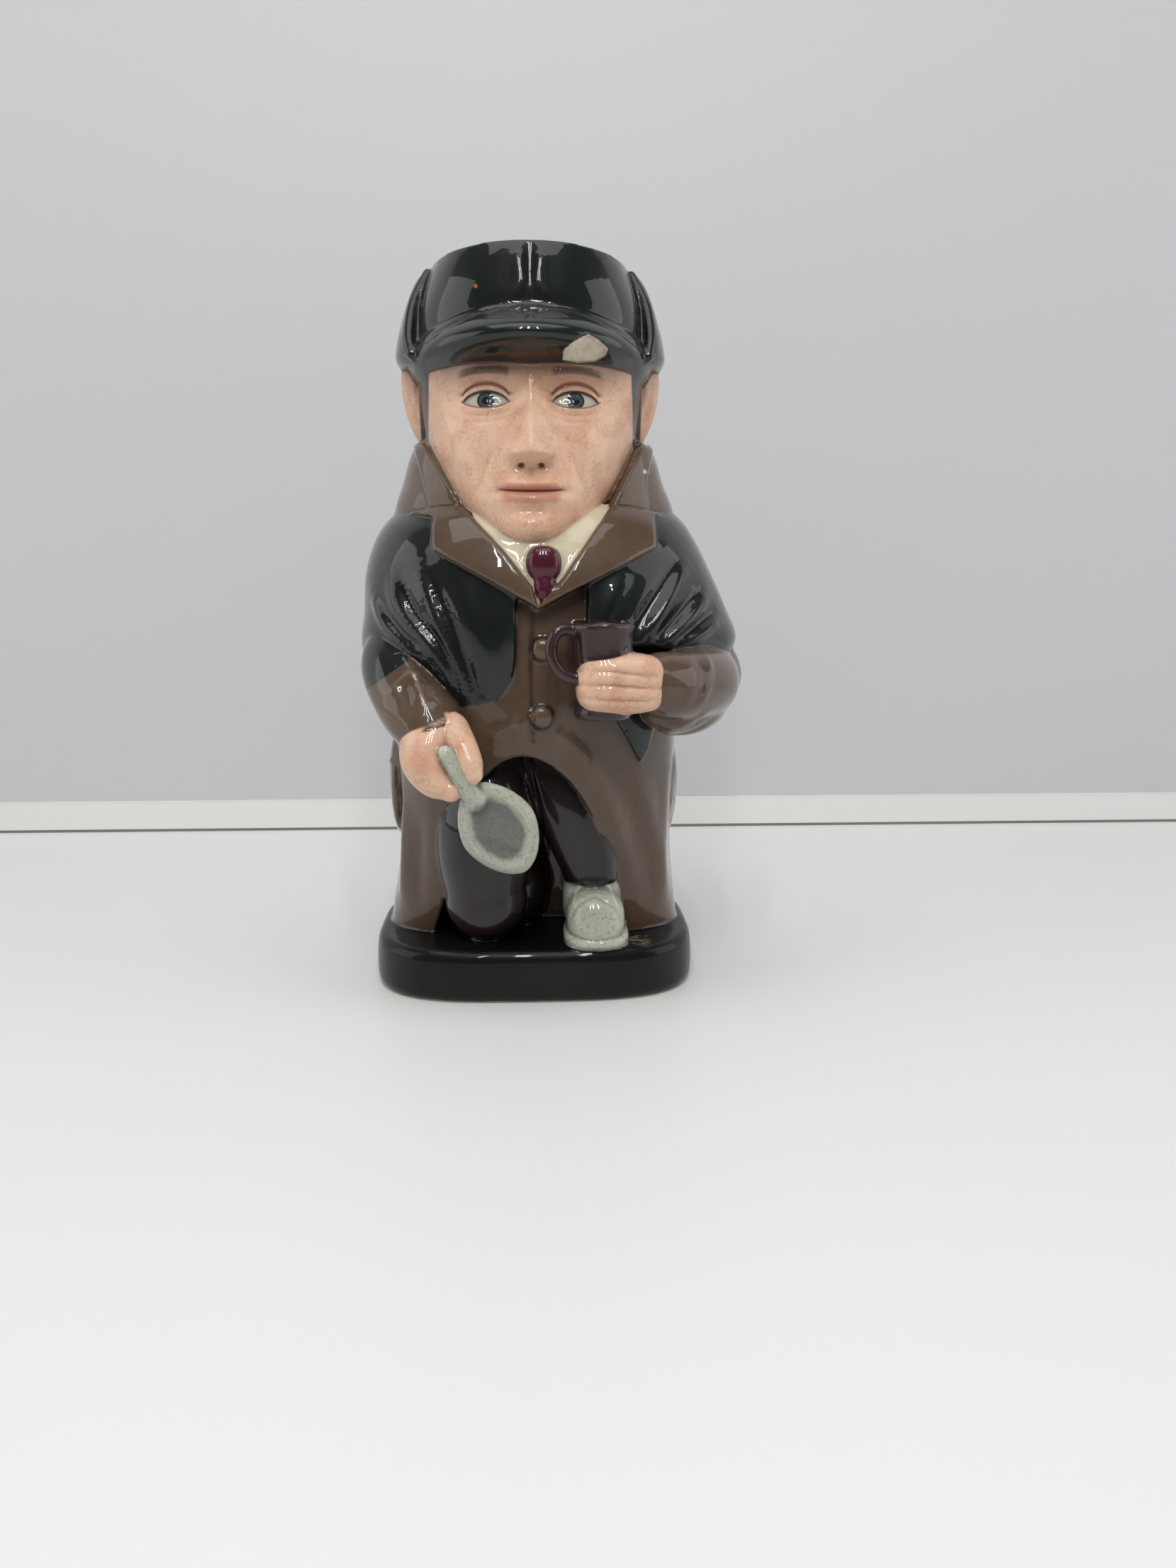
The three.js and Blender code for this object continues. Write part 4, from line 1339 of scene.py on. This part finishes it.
def spot(x, z, size, front=-20):
    away = distance(px - x, pz - z) + (speckle - 0.5) * size
    return fade(away, size * 0.7, size * 1.2) * fade(py, front, front + 1)


KILN_DIRT, CAPE_FLECK = tint(168, 96, 48), tint(150, 40, 34)
COLLAR_MARK, DUST = tint(206, 190, 168), tint(120, 112, 96)
colour = mix(colour, KILN_DIRT, spot(-15.6, 215, 0.6) * 0.9)
colour = mix(colour, COLLAR_MARK, spot(35.2, 164.6, 0.7, front=-2) * 0.9)
colour = mix(colour, CAPE_FLECK, spot(51, 118.6, 0.5) * 0.8)
dust = ramp(noise(2.4, 4), 0.42, 0.6) * fade(abs(px - 33), 2.4, 5) * fade(abs(py + 32), 3, 7)
dust = dust * fade(abs(pz - 17), 1.6, 2.6) * masks["black"]
colour = mix(colour, DUST, dust * 0.8)
bare = ramp(margin("chip") + (speckle - 0.5) * 0.4, -0.05, 0.15)
colour = mix(colour, mix(tint(214, 204, 184), tint(190, 178, 156), ramp(mottle, 0.4, 0.7)), bare)
foot = fade(pz + (mottle - 0.5) * 0.5, 0.35, 0.7)
colour = mix(colour, tint(196, 182, 158), foot)
unglazed = maths("MAXIMUM", bare, foot)
print(len(LAYERS), "colours laid on the coat's brown")

# %% [markdown]
# ## The glaze
#
# The clear glaze is the shader's coat: a smooth layer over a softer colour. It is missing on the chip and
# under the foot. Long, faint waves in the normal make its reflections wander, as on anything dipped by
# hand.

# %% The glaze
waves = noise(9, 2) * 0.8 + noise(2.6, 2) * 0.12 + over_sleeve * 0.8
waves = waves + speckle * 0.012 + unglazed * speckle * 0.12
bump = add("ShaderNodeBump", {}, {"Height": waves, "Strength": 0.35, "Distance": 0.0006})
surface_shader = add(
    "ShaderNodeBsdfPrincipled",
    {},
    {
        "Base Color": colour,
        "Roughness": 0.4 + unglazed * 0.4 + masks["pewter"] * 0.1 + masks["skin"] * 0.1,
        "Normal": bump,
        "Coat Weight": 0.95 - unglazed * 0.9 - masks["black"] * 0.6 - masks["skin"] * 0.3,
        "Coat Roughness": 0.035,
        "Coat IOR": 1.45,
        "Specular IOR Level": 0.15,
    },
)
end = tree.nodes.new("ShaderNodeOutputMaterial")
tree.links.new(surface_shader.socket, end.inputs["Surface"])
jug.data.materials.clear()
jug.data.materials.append(glaze)
jug.data.polygons.foreach_set("material_index", np.zeros(len(jug.data.polygons), int))
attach(jug, "root")
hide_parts("toby_jug")
print("glaze has", len(tree.nodes), "nodes")

# %% [markdown]
# ## The camera
#
# The camera stands a little above the figure's middle and looks down by ten degrees. Its focal length is
# that of the photograph: 1662 pixels in a frame 2212 pixels high, on a sensor of 36 millimetres.

# %% Camera
CAMERA_PLACE = (0, -0.3974, 0.1326)
CAMERA_TURN = np.radians((80, 0, -2.67))
SENSOR, FOCAL_PIXELS, FRAME_PIXELS = 36, 1662, 2212
LENS = SENSOR * FOCAL_PIXELS / FRAME_PIXELS
bpy.ops.object.camera_add(location=CAMERA_PLACE, rotation=CAMERA_TURN)
camera = bpy.context.object
camera.data.lens = LENS
camera.data.sensor_fit = "AUTO"
bpy.context.scene.camera = camera
print("lens of", round(LENS, 2), "mm")

# %% [markdown]
# ## Table and wall
#
# The table ends at a pale strip and a wall. All of them are sheets, and each shows on its front alone, so
# the jug can be looked at from behind too: the sheet is see-through where a ray meets its back.

# %% Table and wall
def matt(name, colour, rough):
    material = bpy.data.materials.new(name)
    material.use_nodes = True
    nodes = material.node_tree.nodes
    shader = nodes["Principled BSDF"]
    shader.inputs["Base Color"].default_value = tint(*colour)
    shader.inputs["Roughness"].default_value = rough
    geometry = nodes.new("ShaderNodeNewGeometry")
    front_only = nodes.new("ShaderNodeMath")
    front_only.operation = "SUBTRACT"
    front_only.inputs[0].default_value = 1
    material.node_tree.links.new(geometry.outputs["Backfacing"], front_only.inputs[1])
    material.node_tree.links.new(front_only.outputs[0], shader.inputs["Alpha"])
    return material


def sheet(name, material, wide, tall, place, upright=True):
    bpy.ops.object.select_all(action="DESELECT")
    bpy.ops.mesh.primitive_plane_add(size=1, location=place, rotation=(np.pi / 2 if upright else 0, 0, 0))
    panel = bpy.context.object
    panel.name = name
    panel.scale = (wide, tall, 1)
    bpy.ops.object.transform_apply(location=True, rotation=True, scale=True)
    panel.data.materials.append(material)


ROOM = 3
WALL_TALL = 2.4
WALL_BACK = 0.221
SKIRTING = 0.0145
LEDGE = 0.01
SHADOW_LINE = 0.0014
skirting_white = matt("skirting_white", (236, 236, 233), 0.3)
sheet("table", matt("table_white", (232, 232, 231), 0.45), ROOM, ROOM, (0, 0, 0), upright=False)
sheet("skirting", skirting_white, ROOM, SKIRTING, (0, WALL_BACK, SKIRTING / 2))
sheet("skirting_top", skirting_white, ROOM, LEDGE, (0, WALL_BACK + LEDGE / 2, SKIRTING), upright=False)
# Painted shadow: a thin grey sheet at the foot of the pale strip stands for the shadow line under it.
sheet("gap", matt("painted_shadow_grey", (120, 122, 116), 0.6), ROOM, SHADOW_LINE, (0, WALL_BACK - 0.001, SHADOW_LINE / 2))
wall_white = matt("wall_white", (206, 206, 208), 0.6)
sheet("wall", wall_white, ROOM, WALL_TALL, (0, WALL_BACK + LEDGE, WALL_TALL / 2))
print("table and wall stand")

# %% [markdown]
# ## Light
#
# The light is soft: a panel above and one on each side, and three narrow tubes that leave the small
# bright streaks on the glaze. The Standard view transform keeps the black of the glaze as deep as in the
# photograph.

# %% Light
MIDDLE = Vector((0, 0, 0.12))
LAMPS = [
    ("ceiling", (-0.05, -0.3, 1.25), 1.2, 0.7, 4.8),
    *[("side_panel", (x, -0.1, 0.42), 0.9, 0.8, 3.3) for x in (-0.95, 0.95)],
    *[("tube", (x, -0.62, 0.72), 0.024, 0.36, 1.3) for x in (-0.14, -0.02, 0.1)],
]
for name, place, wide, tall, watts in LAMPS:
    aim = (MIDDLE - Vector(place)).to_track_quat("-Z", "Y").to_euler()
    bpy.ops.object.light_add(type="AREA", location=place, rotation=aim)
    lamp = bpy.context.object
    lamp.name = name
    lamp.data.shape = "RECTANGLE"
    lamp.data.size = wide
    lamp.data.size_y = tall
    lamp.data.energy = watts
bpy.context.scene.view_settings.view_transform = "Standard"
world = bpy.data.worlds.new("room")
bpy.context.scene.world = world
world.use_nodes = True
room = world.node_tree.nodes["Background"]
room.inputs["Color"].default_value = (0.9, 0.92, 0.95, 1)
room.inputs["Strength"].default_value = 0.07
print(len(LAMPS), "lamps")
